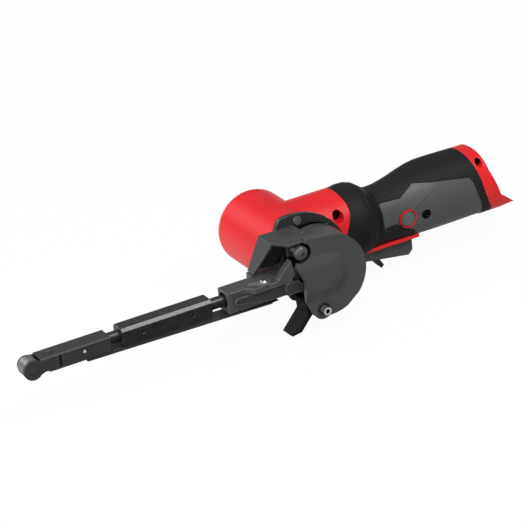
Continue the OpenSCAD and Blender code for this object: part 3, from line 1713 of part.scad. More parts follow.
motor_housing();
motor_end_cap();
motor_mount();
swivel_retainer();
stator();
stator_windings();
front_bearing();
rear_bearing();
rotor_core();
motor_shaft();
cooling_fan();
drive_pulley();
pulley_screw();
handle_shell_left();
handle_shell_right();
grip_overmould();
collar_ring();
rear_bezel();
terminal_block();
control_board();
trigger_switch();
trigger_trim();
trigger_pin();
trigger_spring();
trigger();
lock_off_lever();
lock_off_pin();
direction_button();
button_ring();
housing_screws();
clamp_screw();
back_plate();
plate_rivets();
belt_cover();
cover_screw();
guard_hood();
arm_bracket();
rod_bush();
tracking_knob();
tracking_spring();
release_lever();
lever_pin();
latch_plate();
latch_rivet();
lock_lever();
lock_lever_pin();
arm_rod();
tension_spring();
middle_block();
arm_pins();
platen();
platen_pad();
platen_screws();
tip_block();
tip_pin();
tip_fork();
fork_screw();
roller_axle();
tip_roller();
roller_bearings();
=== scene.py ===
"""Dresses the CAD model of a cordless band file with its finishes, springs and a studio stage."""

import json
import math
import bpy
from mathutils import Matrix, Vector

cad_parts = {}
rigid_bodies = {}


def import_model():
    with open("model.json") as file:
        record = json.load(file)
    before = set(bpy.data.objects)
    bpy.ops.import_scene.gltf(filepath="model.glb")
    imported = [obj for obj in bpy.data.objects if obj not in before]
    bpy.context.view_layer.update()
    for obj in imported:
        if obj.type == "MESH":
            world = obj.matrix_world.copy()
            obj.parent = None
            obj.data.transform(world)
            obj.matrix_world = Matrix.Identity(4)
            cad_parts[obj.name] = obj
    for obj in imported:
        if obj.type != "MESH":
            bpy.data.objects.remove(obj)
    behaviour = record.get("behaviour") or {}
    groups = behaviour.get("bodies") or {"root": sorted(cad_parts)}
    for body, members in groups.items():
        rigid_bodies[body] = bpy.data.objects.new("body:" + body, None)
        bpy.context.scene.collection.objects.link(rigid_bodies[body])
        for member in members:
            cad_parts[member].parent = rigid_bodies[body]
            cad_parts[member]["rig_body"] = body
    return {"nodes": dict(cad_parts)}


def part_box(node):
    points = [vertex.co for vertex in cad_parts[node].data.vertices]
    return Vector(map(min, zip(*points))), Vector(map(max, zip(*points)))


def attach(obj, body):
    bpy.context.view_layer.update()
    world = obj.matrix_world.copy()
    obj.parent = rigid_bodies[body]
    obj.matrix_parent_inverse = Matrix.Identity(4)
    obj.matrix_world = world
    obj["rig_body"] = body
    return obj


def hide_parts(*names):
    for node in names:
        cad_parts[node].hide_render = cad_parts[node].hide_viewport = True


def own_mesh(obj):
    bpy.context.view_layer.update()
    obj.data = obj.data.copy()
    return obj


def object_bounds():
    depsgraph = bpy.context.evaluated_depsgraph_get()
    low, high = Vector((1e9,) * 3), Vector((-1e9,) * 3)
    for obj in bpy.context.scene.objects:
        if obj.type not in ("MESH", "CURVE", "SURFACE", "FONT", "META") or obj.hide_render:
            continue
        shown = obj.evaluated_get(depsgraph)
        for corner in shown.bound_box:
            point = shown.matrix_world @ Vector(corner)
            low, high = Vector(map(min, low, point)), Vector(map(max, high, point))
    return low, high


bl_info = {
    "name": "Band File",
    "version": (1, 0, 0),
    "blender": (4, 5, 0),
    "location": "View3D > Sidebar > Band File",
    "description": "Finishes, springs and a studio stage for a cordless band file",
    "category": "Object",
}

import bpy
from mathutils import Matrix, Vector

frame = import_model()
CAD_LOW, CAD_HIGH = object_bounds()

# Corners nearer to each other than this are joined, in metres
MERGE_GAP = 0.00001
# Edges sharper than these stay sharp on smoothly shaded pieces
MOULDED_ANGLE = math.radians(35.0)
BUTTON_ANGLE = math.radians(40.0)
WIRE_ANGLE = math.radians(50.0)

# Span that holds most values of a soft noise, and the detail of a cloudy one
NOISE_SPAN = (0.3, 0.7)
CLOUD_DETAIL = 3.0
# Stretch of the fine tool lines on turned pieces
TOOL_LINES = (1.0, 0.06, 1.0)
# Edges: samples of their rounded normal, and how far from the flat one the edge wear and painted edge
# highlight start and are full
EDGE_SAMPLES = 6
WEAR_AND_HIGHLIGHT_SPAN = (0.01, 0.12)
# Grip dots: slant of their rows, and the span over which a dot falls away, in pitches
DOT_SLANT = math.radians(45.0)
DOT_SPAN = (0.2, 0.42)
# Heights over which the grip's dots fade, as shares of the handle's height, and what is left of them
DOT_FADE = (0.55, 0.9)
DOT_REST = 0.1
# Dots on the side panels: pitch as a share of the grip's, and shares of dots and grain in the relief
PANEL_PITCH = 0.8
PANEL_DOTS = 0.6
PANEL_GRAIN = 0.1
# Crease in the side panels, a bump with painted shade along it: its slant, then shift, half width, soft
# start, length and soft end in metres
CREASE_RUN = 0.595
CREASE_RISE = 0.8
CREASE_SHIFT = 0.004
CREASE_HALF = 0.0004
CREASE_START = 0.0006
CREASE_LENGTH = 0.01
CREASE_END = 0.0005
# Soft edge of a painted highlight ring, as a share of its node's radius
RING_FADE = 0.06

# Dark and light tones of the circuit board and of the graphite cloth, and the bush's bronze
BOARD_TONES = ((0.02, 0.10, 0.045, 1.0), (0.05, 0.2, 0.09, 1.0))
CLOTH_TONES = ((0.012, 0.012, 0.013, 1.0), (0.035, 0.035, 0.037, 1.0))
BRONZE = (0.45, 0.28, 0.1)

# Coil springs: corners of the wire's section, steps in a turn, and turns that lay Z along X, Y or Z
WIRE_SIDES = 10
TURN_STEPS = 28
AXIS_TURNS = ((0.0, math.pi / 2.0, 0.0), (-math.pi / 2.0, 0.0, 0.0), (0.0, 0.0, 0.0))

# Direction button: corners round it, and shares of its radius or dish
BUTTON_SIDES = 64
BUTTON_RIM = 0.16
BUTTON_STEP = 0.3
BUTTON_SLOPE = 0.7
BUTTON_FLOOR = 0.3
BUTTON_BEVEL = 0.07
BUTTON_BEVEL_STEPS = 3
# Edges of the button sharper than this are rounded, and faces turned this much to +Y are its front
BUTTON_EDGE = math.radians(50.0)
BUTTON_FRONT = 0.9

# Floor: size, gap below the tool, grey, and the share that the camera sees through
FLOOR_SIZE = 12.0
FLOOR_GAP = 0.001
FLOOR_GREY = 0.85
FLOOR_CLEAR = 0.95
# Light that the floor shows in reflections: two places along Y, and the strength at each
CARD_SPAN = (-0.14, 0.02)
CARD_LIGHT = (1.0, 0.08)
BLACK = (0.0, 0.0, 0.0, 1.0)
# Strength of the light from all round
SURROUND_LIGHT = 0.28

# Soft lamps: name, place, size and power, and the point that all of them face
LAMPS = (
    ("key_lamp", (0.55, 0.75, 0.95), 0.8, 7.0),
    ("chamfer_lamp", (-0.42, 0.56, 1.04), 0.5, 8.0),
    ("top_lamp", (0.0, -0.2, 1.1), 0.9, 1.5),
    ("front_lamp", (1.2, 0.2, 0.35), 0.6, 9.0),
    ("edge_lamp", (0.5, -0.9, 0.6), 0.6, 2.5),
)
LAMP_AIM = Vector((0.02, -0.02, 0.0))

# Camera at the photograph's angle: directions, place, lens, sensor and reach
CAMERA_RIGHT = Vector((-0.86405, 0.4955, -0.08885))
CAMERA_UP = Vector((-0.28391, -0.3339, 0.89883))
CAMERA_PLACE = Vector((0.654046, 1.188481, 0.651217))
CAMERA_LENS = 164.6
CAMERA_SENSOR = 36.0
CAMERA_REACH = 50.0


# Shader sums

class Wire:
    """A shader socket that takes part in Python sums."""

    def __init__(self, sheet, socket):
        self.sheet = sheet
        self.socket = socket

    def __add__(self, other):
        return self.sheet.sum("ADD", self, other)

    def __radd__(self, other):
        return self.sheet.sum("ADD", other, self)

    def __sub__(self, other):
        return self.sheet.sum("SUBTRACT", self, other)

    def __rsub__(self, other):
        return self.sheet.sum("SUBTRACT", other, self)

    def __mul__(self, other):
        return self.sheet.sum("MULTIPLY", self, other)

    def __truediv__(self, other):
        return self.sheet.sum("DIVIDE", self, other)

    def __pow__(self, other):
        return self.sheet.sum("POWER", self, other)


class Sheet:
    """A node tree that is written as sums and calls."""

    def __init__(self, holder):
        holder.use_nodes = True
        self.tree = holder.node_tree

    def node(self, kind, settings=None, values=None, output=0):
        """Adds a node, sets it up, feeds its sockets and gives back one output."""
        made = self.tree.nodes.new("ShaderNode" + kind)
        for key, value in (settings or {}).items():
            setattr(made, key, value)
        for key, value in (values or {}).items():
            self.feed(made.inputs[key], value)
        return Wire(self, made.outputs[output])

    def feed(self, socket, value):
        """Links a wire to a socket, or sets the socket's own value."""
        if isinstance(value, Wire):
            self.tree.links.new(value.socket, socket)
        else:
            socket.default_value = value

    def sum(self, operation, first, second):
        """A Math node on two numbers or wires."""
        return self.node("Math", {"operation": operation}, {0: first, 1: second})

    def ray(self, kind):
        """One for rays of a kind, such as Camera, and zero for the others."""
        return self.node("LightPath", output=f"Is {kind} Ray")

    def close(self, kind, shader):
        """Ends the tree in a shader."""
        self.feed(self.tree.nodes[kind].inputs["Surface"], shader)


class Paint(Sheet):
    """One node material, which ends in a principled shader unless it is closed in another."""

    def __init__(self, name):
        self.material = bpy.data.materials.new(name)
        super().__init__(self.material)
        self.shader = self.tree.nodes["Principled BSDF"]

    def place(self, stretch=(1.0, 1.0, 1.0)):
        """The point on the piece, in metres, stretched for a pattern."""
        point = self.node("TexCoord", output="Object")
        return self.node("Mapping", values={"Vector": point, "Scale": stretch})

    def parts(self, vector):
        """The three parts of a vector."""
        made = self.node("SeparateXYZ", values={0: vector}).socket.node
        return [Wire(self, socket) for socket in made.outputs]

    def wrapped(self, axis_y, reach):
        """The point along the handle and round it at a reach, in metres, laid flat."""
        x, y, z = self.parts(self.place())
        way_round = self.sum("ARCTAN2", z, y - axis_y) * reach
        return self.node("CombineXYZ", values={"X": x, "Y": way_round})

    def dots(self, flat, pitch):
        """Round dots on a slanted square grid: one in their middles and zero between them."""
        slanted = self.node("Mapping", values={"Vector": flat, "Rotation": (0.0, 0.0, DOT_SLANT)})
        values = {"Vector": slanted, "Scale": 1.0 / pitch, "Randomness": 0.0}
        distance = self.node("TexVoronoi", {"voronoi_dimensions": "2D"}, values, "Distance")
        return self.fall(distance, DOT_SPAN)

    def grain(self, size, detail=2.0, stretch=(1.0, 1.0, 1.0)):
        """Soft noise with features of a size in metres."""
        values = {"Vector": self.place(stretch), "Scale": 1.0 / size, "Detail": detail}
        return self.node("TexNoise", values=values, output="Fac")

    def cloud(self, size):
        """Soft noise of a size in metres with finer detail in it."""
        return self.grain(size, CLOUD_DETAIL)

    def pebbles(self, size):
        """Distance from the middles of uneven rounded cells, as a share of their size in metres."""
        values = {"Vector": self.place(), "Scale": 1.0 / size, "Randomness": 1.0}
        return self.node("TexVoronoi", {"feature": "SMOOTH_F1"}, values, "Distance")

    def spread(self, value, span, ends):
        """A wire's span, drawn out between two end values and held at them."""
        values = {
            "Value": value, "From Min": span[0], "From Max": span[1], "To Min": ends[0], "To Max": ends[1],
        }
        return self.node("MapRange", {"clamp": True}, values, "Result")

    def rise(self, value, span):
        """A share that goes from zero to one over a wire's span."""
        return self.spread(value, span, (0.0, 1.0))

    def fall(self, value, span):
        """A share that goes from one to zero over a wire's span."""
        return self.spread(value, span, (1.0, 0.0))

    def tint(self, share, first, second, most=1.0):
        """A colour between two others, with at most a share of the second."""
        return self.node("Mix", {"data_type": "RGBA"}, {0: share * most, 6: first, 7: second}, 2)

    def blend(self, share, ends):
        """A number between two end values."""
        return ends[0] + share * (ends[1] - ends[0])

    def shaded(self, noise, colour, dark, light):
        """A colour that drifts with a soft noise between a darker and a lighter tone."""
        return self.tint(self.rise(noise, NOISE_SPAN), rgba(colour, dark), rgba(colour, light))

    def dull(self, fine, broad, share, span, ends):
        """Roughness that follows a fine pattern and a share of a broad noise."""
        return self.spread(fine + broad * share, span, ends)

    def soft_normal(self, radius):
        """The surface's normal with edges rounded over a radius."""
        return self.node("Bevel", {"samples": EDGE_SAMPLES}, {"Radius": radius})

    def edge_wear_and_highlight(self, radius, patch, span):
        """A share that rises to one along sharp edges, broken up into patches of a size: edge wear and
        painted edge highlight.
        """
        smooth = self.soft_normal(radius)
        flat = self.node("NewGeometry", output="Normal")
        alike = self.node("VectorMath", {"operation": "DOT_PRODUCT"}, {0: smooth, 1: flat}, "Value")
        return self.rise(1.0 - alike, WEAR_AND_HIGHLIGHT_SPAN) * self.rise(self.grain(patch), span)

    def relief(self, height, strength, depth, normal=None):
        """Bumps of a depth in metres on top of a normal, or else of the surface's own."""
        normal = normal or self.node("NewGeometry", output="Normal")
        values = {"Height": height, "Strength": strength, "Distance": depth, "Normal": normal}
        return self.node("Bump", values=values)

    def done(self, **sockets):
        """Feeds the principled shader and gives back the material."""
        for name, value in sockets.items():
            self.feed(self.shader.inputs[name.replace("_", " ")], value)
        return self.material


def toned(colour, light):
    """A colour made lighter or darker."""
    return tuple(light * part for part in colour)


def rgba(colour, light=1.0):
    """A shader colour from a property's colour, made lighter or darker."""
    return tuple(min(1.0, part) for part in toned(colour, light)) + (1.0,)


# Sizes and colours that a user would change

class BandFileSizes(bpy.types.PropertyGroup):
    """Sizes of the finishes and of the small modelled pieces."""

    edge_soft: bpy.props.FloatProperty(
        name="Edge softening", description="Radius of the rounding that shows on moulded and painted edges",
        default=0.0006, min=0.0, unit="LENGTH")
    metal_soft: bpy.props.FloatProperty(
        name="Metal edge softening", description="Radius of the rounding that shows on cast and bare metal",
        default=0.0004, min=0.0, unit="LENGTH")
    pebble: bpy.props.FloatProperty(
        name="Pulley pebble", description="Size of the pebbles moulded into the pulley's rubber",
        default=0.0011, min=0.0001, unit="LENGTH")
    dot_pitch: bpy.props.FloatProperty(
        name="Grip dot pitch", description="Distance between the dots moulded into the grip",
        default=0.0021, min=0.0005, unit="LENGTH")
    spark: bpy.props.FloatProperty(
        name="Plastic grain", description="Size of the fine grain moulded into the plastic",
        default=0.0004, min=0.0001, unit="LENGTH")
    cast_grain: bpy.props.FloatProperty(
        name="Cast grain", description="Size of the grain on cast and painted metal",
        default=0.0007, min=0.0001, unit="LENGTH")
    # The rubbed edges on cast metal are painted lighter, partly as wear and partly as a painted highlight
    cast_wear_highlight: bpy.props.FloatProperty(
        name="Cast edge", description="Width of the rubbed edges on cast metal",
        default=0.0009, min=0.0, unit="LENGTH")
    spring_wire: bpy.props.FloatProperty(
        name="Spring wire", description="Radius of the wire of the tension and tracking springs",
        default=0.0005, min=0.0001, unit="LENGTH")
    trigger_wire: bpy.props.FloatProperty(
        name="Trigger spring wire", description="Radius of the wire of the trigger spring",
        default=0.00045, min=0.0001, unit="LENGTH")
    button_dish: bpy.props.FloatProperty(
        name="Button dish", description="Depth of the dish in the direction button's face",
        default=0.0005, min=0.0, unit="LENGTH")


class BandFileColours(bpy.types.PropertyGroup):
    """Base colours of the finishes."""

    housing: bpy.props.FloatVectorProperty(
        name="Housing", description="Red of the motor housing, end cap, bezel, trim and button ring",
        default=(0.62, 0.010, 0.014), min=0.0, max=1.0, subtype="COLOR")
    grip: bpy.props.FloatVectorProperty(
        name="Grip", description="Rubber of the grip, the collar and the pulley",
        default=(0.009, 0.009, 0.0095), min=0.0, max=1.0, subtype="COLOR")
    panel: bpy.props.FloatVectorProperty(
        name="Panel", description="Plastic of the handle's side panels and, lighter, of the button",
        default=(0.074, 0.074, 0.075), min=0.0, max=1.0, subtype="COLOR")
    trigger: bpy.props.FloatVectorProperty(
        name="Trigger", description="Plastic of the trigger",
        default=(0.048, 0.048, 0.049), min=0.0, max=1.0, subtype="COLOR")
    cover: bpy.props.FloatVectorProperty(
        name="Cover", description="Paint of the belt cover and the tracking knob",
        default=(0.052, 0.052, 0.053), min=0.0, max=1.0, subtype="COLOR")
    hood: bpy.props.FloatVectorProperty(
        name="Hood", description="Paint of the guard hood",
        default=(0.038, 0.038, 0.039), min=0.0, max=1.0, subtype="COLOR")
    plate: bpy.props.FloatVectorProperty(
        name="Plate", description="Paint of the swivel plate and the platen",
        default=(0.026, 0.026, 0.027), min=0.0, max=1.0, subtype="COLOR")
    casting: bpy.props.FloatVectorProperty(
        name="Casting",
        description="Cast metal of the arm bracket and, in other tones, of the latch and the release lever",
        default=(0.072, 0.072, 0.074), min=0.0, max=1.0, subtype="COLOR")
    arm: bpy.props.FloatVectorProperty(
        name="Arm", description="Black finish of the arm's middle block and, darker, of its tip",
        default=(0.068, 0.068, 0.069), min=0.0, max=1.0, subtype="COLOR")
    black: bpy.props.FloatVectorProperty(
        name="Black",
        description="Deep black of the lock levers, the rod, the motor mount, sunk screws and hidden plastic",
        default=(0.012, 0.012, 0.0125), min=0.0, max=1.0, subtype="COLOR")
    steel: bpy.props.FloatVectorProperty(
        name="Steel",
        description="Bright steel of the motor's shaft, bearings and cores, the cover screw, rivets and pins",
        default=(0.42, 0.42, 0.43), min=0.0, max=1.0, subtype="COLOR")
    screw: bpy.props.FloatVectorProperty(
        name="Screws",
        description="Dark plated steel of screws, springs, lever pins and the roller's bearings",
        default=(0.16, 0.16, 0.165), min=0.0, max=1.0, subtype="COLOR")
    roller: bpy.props.FloatVectorProperty(
        name="Roller", description="Dull metal of the front roller",
        default=(0.30, 0.30, 0.305), min=0.0, max=1.0, subtype="COLOR")
    copper: bpy.props.FloatVectorProperty(
        name="Copper", description="Enamelled wire of the motor's windings",
        default=(0.55, 0.22, 0.09), min=0.0, max=1.0, subtype="COLOR")
    backdrop: bpy.props.FloatVectorProperty(
        name="Backdrop", description="Colour of the floor and of the space behind it",
        default=(1.0, 1.0, 1.0), min=0.0, max=1.0, subtype="COLOR")


# Finishes

def moulded_plastic(name, colour, sizes, roughness, shine=0.5):
    """Satin moulded plastic with a fine grain, soft edges and corners painted slightly lighter, as wear and
    as a painted highlight.
    """
    paint = Paint(name)
    normal = paint.soft_normal(sizes.edge_soft)
    cloud = paint.cloud(size=0.03)
    spark = paint.grain(sizes.spark, detail=1.0)
    worn_and_highlit = paint.edge_wear_and_highlight(sizes.edge_soft, patch=0.004, span=(0.35, 0.7))
    base = paint.shaded(cloud, colour, dark=0.93, light=1.06)
    ends = (roughness - 0.05, roughness + 0.07)
    return paint.done(
        # Edges painted lighter: partly wear, partly a painted highlight
        Base_Color=paint.tint(worn_and_highlit, base, rgba(colour, light=1.7), most=0.35),
        Roughness=paint.dull(spark, cloud, share=0.5, span=(0.4, 1.1), ends=ends),
        Specular_IOR_Level=shine,
        Normal=paint.relief(spark, strength=0.25, depth=0.00005, normal=normal),
    )


def pebbled_rubber(name, colour, sizes):
    """Dull rubber with rounded pebbles and painted shade in the hollows between them."""
    paint = Paint(name)
    normal = paint.soft_normal(sizes.edge_soft)
    cloud = paint.cloud(size=0.02)
    hollow = paint.rise(paint.pebbles(sizes.pebble), span=(0.25, 0.75))
    base = paint.shaded(cloud, colour, dark=0.85, light=1.2)
    return paint.done(
        # The hollows between the pebbles are painted darker as shade
        Base_Color=paint.tint(hollow, base, rgba(colour, light=0.45), most=0.5),
        Roughness=paint.dull(hollow, cloud, share=0.3, span=(0.0, 1.2), ends=(0.5, 0.75)),
        Specular_IOR_Level=0.25,
        Normal=paint.relief(1.0 - hollow, strength=0.55, depth=0.00022, normal=normal),
    )


def handle_round():
    """The Y place of the handle's axis and the handle's height above it."""
    low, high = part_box("grip_overmould")
    middle = (low + high) / 2.0
    return middle.y, high.z - middle.z


def dotted_rubber(name, colour, sizes, dot_lift_and_highlight):
    """Dull rubber with rows of raised dots wrapped round the handle, which fade towards its top; the dots are
    painted lighter as a highlight.
    """
    paint = Paint(name)
    axis_y, reach = handle_round()
    normal = paint.soft_normal(sizes.edge_soft)
    height = paint.parts(paint.place())[2] / reach
    fade = paint.spread(height, DOT_FADE, ends=(1.0, DOT_REST))
    dots = paint.dots(paint.wrapped(axis_y, reach), sizes.dot_pitch) * fade
    cloud = paint.cloud(size=0.02)
    base = paint.shaded(cloud, colour, dark=0.9, light=1.15)
    return paint.done(
        # The raised dots are painted lighter: a painted highlight on each dot
        Base_Color=paint.tint(dots, base, rgba(colour, light=3.0), most=dot_lift_and_highlight),
        Roughness=paint.dull(dots, cloud, share=0.3, span=(0.0, 1.2), ends=(0.58, 0.48)),
        Specular_IOR_Level=0.16,
        Normal=paint.relief(dots, strength=dot_lift_and_highlight, depth=0.0003, normal=normal),
    )


def panel_plastic(name, colour, sizes):
    """Plastic of the side panels: smooth round the button, and finely dotted behind a slanting crease, with
    painted shade in the crease and between the dots.
    """
    paint = Paint(name)
    low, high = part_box("direction_button")
    x, _, z = paint.parts(paint.place())
    behind = low.x - x
    above = z - (low.z + high.z) / 2.0
    beyond = behind * CREASE_RUN - above * CREASE_RISE + CREASE_SHIFT
    rear = paint.rise(beyond, (0.0, CREASE_HALF)) * paint.rise(behind, (0.0, CREASE_HALF))
    line = paint.rise(beyond, (-CREASE_HALF, 0.0)) * paint.fall(beyond, (0.0, CREASE_HALF))
    begun = paint.rise(behind, (0.0, CREASE_START))
    crease = line * begun * paint.fall(behind, (CREASE_LENGTH - CREASE_END, CREASE_LENGTH + CREASE_END))
    dots = paint.dots(paint.wrapped(*handle_round()), sizes.dot_pitch * PANEL_PITCH) * rear
    normal = paint.soft_normal(sizes.edge_soft)
    cloud = paint.cloud(size=0.03)
    spark = paint.grain(sizes.spark, detail=1.0)
    base = paint.shaded(cloud, colour, dark=0.92, light=1.06)
    # Painted shade on the ground between the raised rear dots
    dotted = paint.tint(rear * (1.0 - dots), base, rgba(colour, light=0.5), most=0.3)
    height = dots * PANEL_DOTS + spark * PANEL_GRAIN - crease
    return paint.done(
        # Painted shade along the crease
        Base_Color=paint.tint(crease, dotted, rgba(colour, light=0.1), most=0.85),
        Roughness=paint.dull(spark, cloud, share=0.5, span=(0.4, 1.1), ends=(0.42, 0.54)),
        Normal=paint.relief(height, strength=0.5, depth=0.0002, normal=normal),
    )


def painted_sheet(name, colour, sizes, roughness, wear_highlight_tone=2.2):
    """Satin paint on metal: fine orange peel, and edges painted lighter, partly as thinned paint and partly
    as a painted highlight.
    """
    paint = Paint(name)
    normal = paint.soft_normal(sizes.edge_soft)
    peel = paint.grain(sizes.cast_grain)
    cloud = paint.cloud(size=0.025)
    worn_and_highlit = paint.edge_wear_and_highlight(sizes.edge_soft, patch=0.0025, span=(0.3, 0.65))
    base = paint.shaded(cloud, colour, dark=0.9, light=1.1)
    ends = (roughness - 0.03, roughness + 0.04)
    return paint.done(
        # Edges painted lighter: partly paint thinned by wear, partly a painted highlight
        Base_Color=paint.tint(worn_and_highlit, base, rgba(colour, wear_highlight_tone), most=0.5),
        Metallic=paint.blend(worn_and_highlit, ends=(0.0, 0.4)),
        Roughness=paint.dull(peel, cloud, share=0.6, span=(0.5, 1.1), ends=ends),
        Normal=paint.relief(peel, strength=0.03, depth=0.00004, normal=normal),
    )


def cast_metal(name, colour, sizes, wear_highlight_tone):
    """Cast alloy with a sandy skin and brighter edges, painted as rubbed wear and as a painted highlight."""
    paint = Paint(name)
    normal = paint.soft_normal(sizes.metal_soft)
    sand = paint.cloud(sizes.cast_grain)
    cloud = paint.cloud(size=0.012)
    worn_and_highlit = paint.edge_wear_and_highlight(sizes.cast_wear_highlight, patch=0.002, span=(0.2, 0.5))
    base = paint.shaded(cloud, colour, dark=0.85, light=1.15)
    return paint.done(
        # Edges painted brighter: partly rubbed wear, partly a painted highlight
        Base_Color=paint.tint(worn_and_highlit, base, rgba(colour, wear_highlight_tone), most=0.8),
        Metallic=paint.blend(worn_and_highlit, ends=(0.35, 0.65)),
        Roughness=paint.dull(sand, cloud, share=0.4, span=(0.4, 1.0), ends=(0.42, 0.58)),
        Normal=paint.relief(sand, strength=0.3, depth=0.00008, normal=normal),
    )


def black_oxide(name, colour, sizes):
    """Blackened steel that shines through where its edges rub, with the edges also painted lighter as a
    highlight.
    """
    paint = Paint(name)
    normal = paint.soft_normal(sizes.metal_soft)
    smudge = paint.grain(size=0.006, detail=4.0)
    fine = paint.grain(size=0.0005, stretch=(0.2, 1.0, 1.0))
    worn_and_highlit = paint.edge_wear_and_highlight(sizes.metal_soft, patch=0.0015, span=(0.2, 0.55))
    base = paint.shaded(smudge, colour, dark=0.95, light=1.25)
    return paint.done(
        # Edges painted much lighter: partly rubbed-through steel, partly a painted highlight
        Base_Color=paint.tint(worn_and_highlit, base, rgba(colour, light=5.0), most=0.8),
        Metallic=paint.blend(worn_and_highlit, ends=(0.85, 1.0)),
        Roughness=paint.dull(fine, smudge, share=0.5, span=(0.4, 1.1), ends=(0.3, 0.44)),
        Normal=paint.relief(fine, strength=0.12, depth=0.00004, normal=normal),
    )


def turned_steel(name, colour, sizes, roughness):
    """Machined metal with fine tool lines."""
    paint = Paint(name)
    normal = paint.soft_normal(sizes.metal_soft)
    lines = paint.grain(size=0.0003, stretch=TOOL_LINES)
    smudge = paint.cloud(size=0.005)
    ends = (roughness - 0.06, roughness + 0.1)
    return paint.done(
        Base_Color=paint.shaded(smudge, colour, dark=0.85, light=1.12),
        Metallic=1.0,
        Roughness=paint.dull(lines, smudge, share=0.4, span=(0.4, 1.0), ends=ends),
        Normal=paint.relief(lines, strength=0.15, depth=0.00003, normal=normal),
    )


def highlight_ring_steel(name, colour, sizes, node, inner, outer):
    """Steel painted bright between two shares of a round node's radius as a highlight, and black round about.
    """
    paint = Paint(name)
    low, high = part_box(node)
    middle = (low + high) / 2.0
    radius = (high.x - low.x) / 2.0
    x, _, z = paint.parts(paint.place())
    out = ((x - middle.x) ** 2.0 + (z - middle.z) ** 2.0) ** 0.5 / radius
    ring = paint.rise(out, (inner - RING_FADE, inner)) * paint.fall(out, (outer, outer + RING_FADE))
    lines = paint.grain(size=0.0003)
    normal = paint.soft_normal(sizes.metal_soft)
    return paint.done(
        # The bright ring is a painted highlight
        Base_Color=paint.tint(ring, rgba(colour, light=0.03), rgba(colour, light=1.8)),
        Metallic=paint.blend(ring, ends=(0.2, 0.5)),
        Roughness=paint.spread(lines, NOISE_SPAN, ends=(0.26, 0.4)),
        Normal=paint.relief(lines, strength=0.12, depth=0.00003, normal=normal),
    )


def wound_wire(name, colour):
    """Enamelled copper wire wound round the motor's axis."""
    paint = Paint(name)
    settings = {"wave_type": "RINGS", "rings_direction": "Y"}
    values = {"Vector": paint.place(), "Scale": 350.0, "Distortion": 1.5}
    strands = paint.node("TexWave", settings, values, "Fac")
    return paint.done(
        Base_Color=paint.tint(strands, rgba(colour, light=0.5), rgba(colour, light=1.2)),
        Metallic=0.8,
        Roughness=paint.blend(strands, ends=(0.35, 0.45)),
        Normal=paint.relief(strands, strength=0.5, depth=0.0002),
    )


def stacked_sheets(name, colour):
    """Laminated core steel, one thin sheet on another along the motor's axis."""
    paint = Paint(name)
    settings = {"wave_type": "BANDS", "bands_direction": "Y"}
    sheets = paint.node("TexWave", settings, {"Vector": paint.place(), "Scale": 600.0}, "Fac")
    return paint.done(
        Base_Color=paint.tint(sheets, rgba(colour, light=0.5), rgba(colour, light=0.8)),
        Metallic=0.9,
        Roughness=paint.blend(sheets, ends=(0.4, 0.55)),
        Normal=paint.relief(sheets, strength=0.3, depth=0.0001),
    )


def circuit_lacquer(name):
    """Green lacquer with faint tracks."""
    paint = Paint(name)
    values = {"Vector": paint.place(), "Scale": 220.0, "Mortar Size": 0.06}
    tracks = paint.node("TexBrick", values=values, output="Fac")
    return paint.done(
        Base_Color=paint.tint(tracks, *BOARD_TONES),
        Roughness=paint.blend(tracks, ends=(0.35, 0.45)),
    )


def gritty_cloth(name):
    """Graphite cloth: a dark weave with a soft shine."""
    paint = Paint(name)
    weave = paint.node("TexChecker", values={"Vector": paint.place(), "Scale": 1500.0}, output="Fac")
    fluff = paint.cloud(size=0.0008)
    return paint.done(
        Base_Color=paint.tint(fluff, *CLOTH_TONES),
        Roughness=paint.blend(fluff, ends=(0.6, 0.8)),
        Normal=paint.relief(weave + fluff, strength=0.4, depth=0.0001),
    )


# Modelling helpers

def dress(material, *names):
    """Gives CAD nodes a material."""
    for name in names:
        mesh = frame["nodes"][name].data
        mesh.materials.clear()
        mesh.materials.append(material)


def only(piece):
    """Makes one object the whole selection."""
    bpy.ops.object.select_all(action="DESELECT")
    piece.select_set(True)
    bpy.context.view_layer.objects.active = piece


def smoothed_copy(node, name, material):
    """A copy of a CAD node with its corners joined and its faces shaded smooth."""
    source = frame["nodes"][node]
    piece = bpy.data.objects.new(name, source.data.copy())
    bpy.context.scene.collection.objects.link(piece)
    only(piece)
    bpy.ops.object.mode_set(mode="EDIT")
    bpy.ops.mesh.select_all(action="SELECT")
    bpy.ops.mesh.remove_doubles(threshold=MERGE_GAP)
    bpy.ops.object.mode_set(mode="OBJECT")
    bpy.ops.mesh.customdata_custom_splitnormals_clear()
    bpy.ops.object.shade_smooth_by_angle(angle=MOULDED_ANGLE)
    piece.data.materials.clear()
    piece.data.materials.append(material)
    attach(piece, source["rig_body"])
    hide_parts(node)


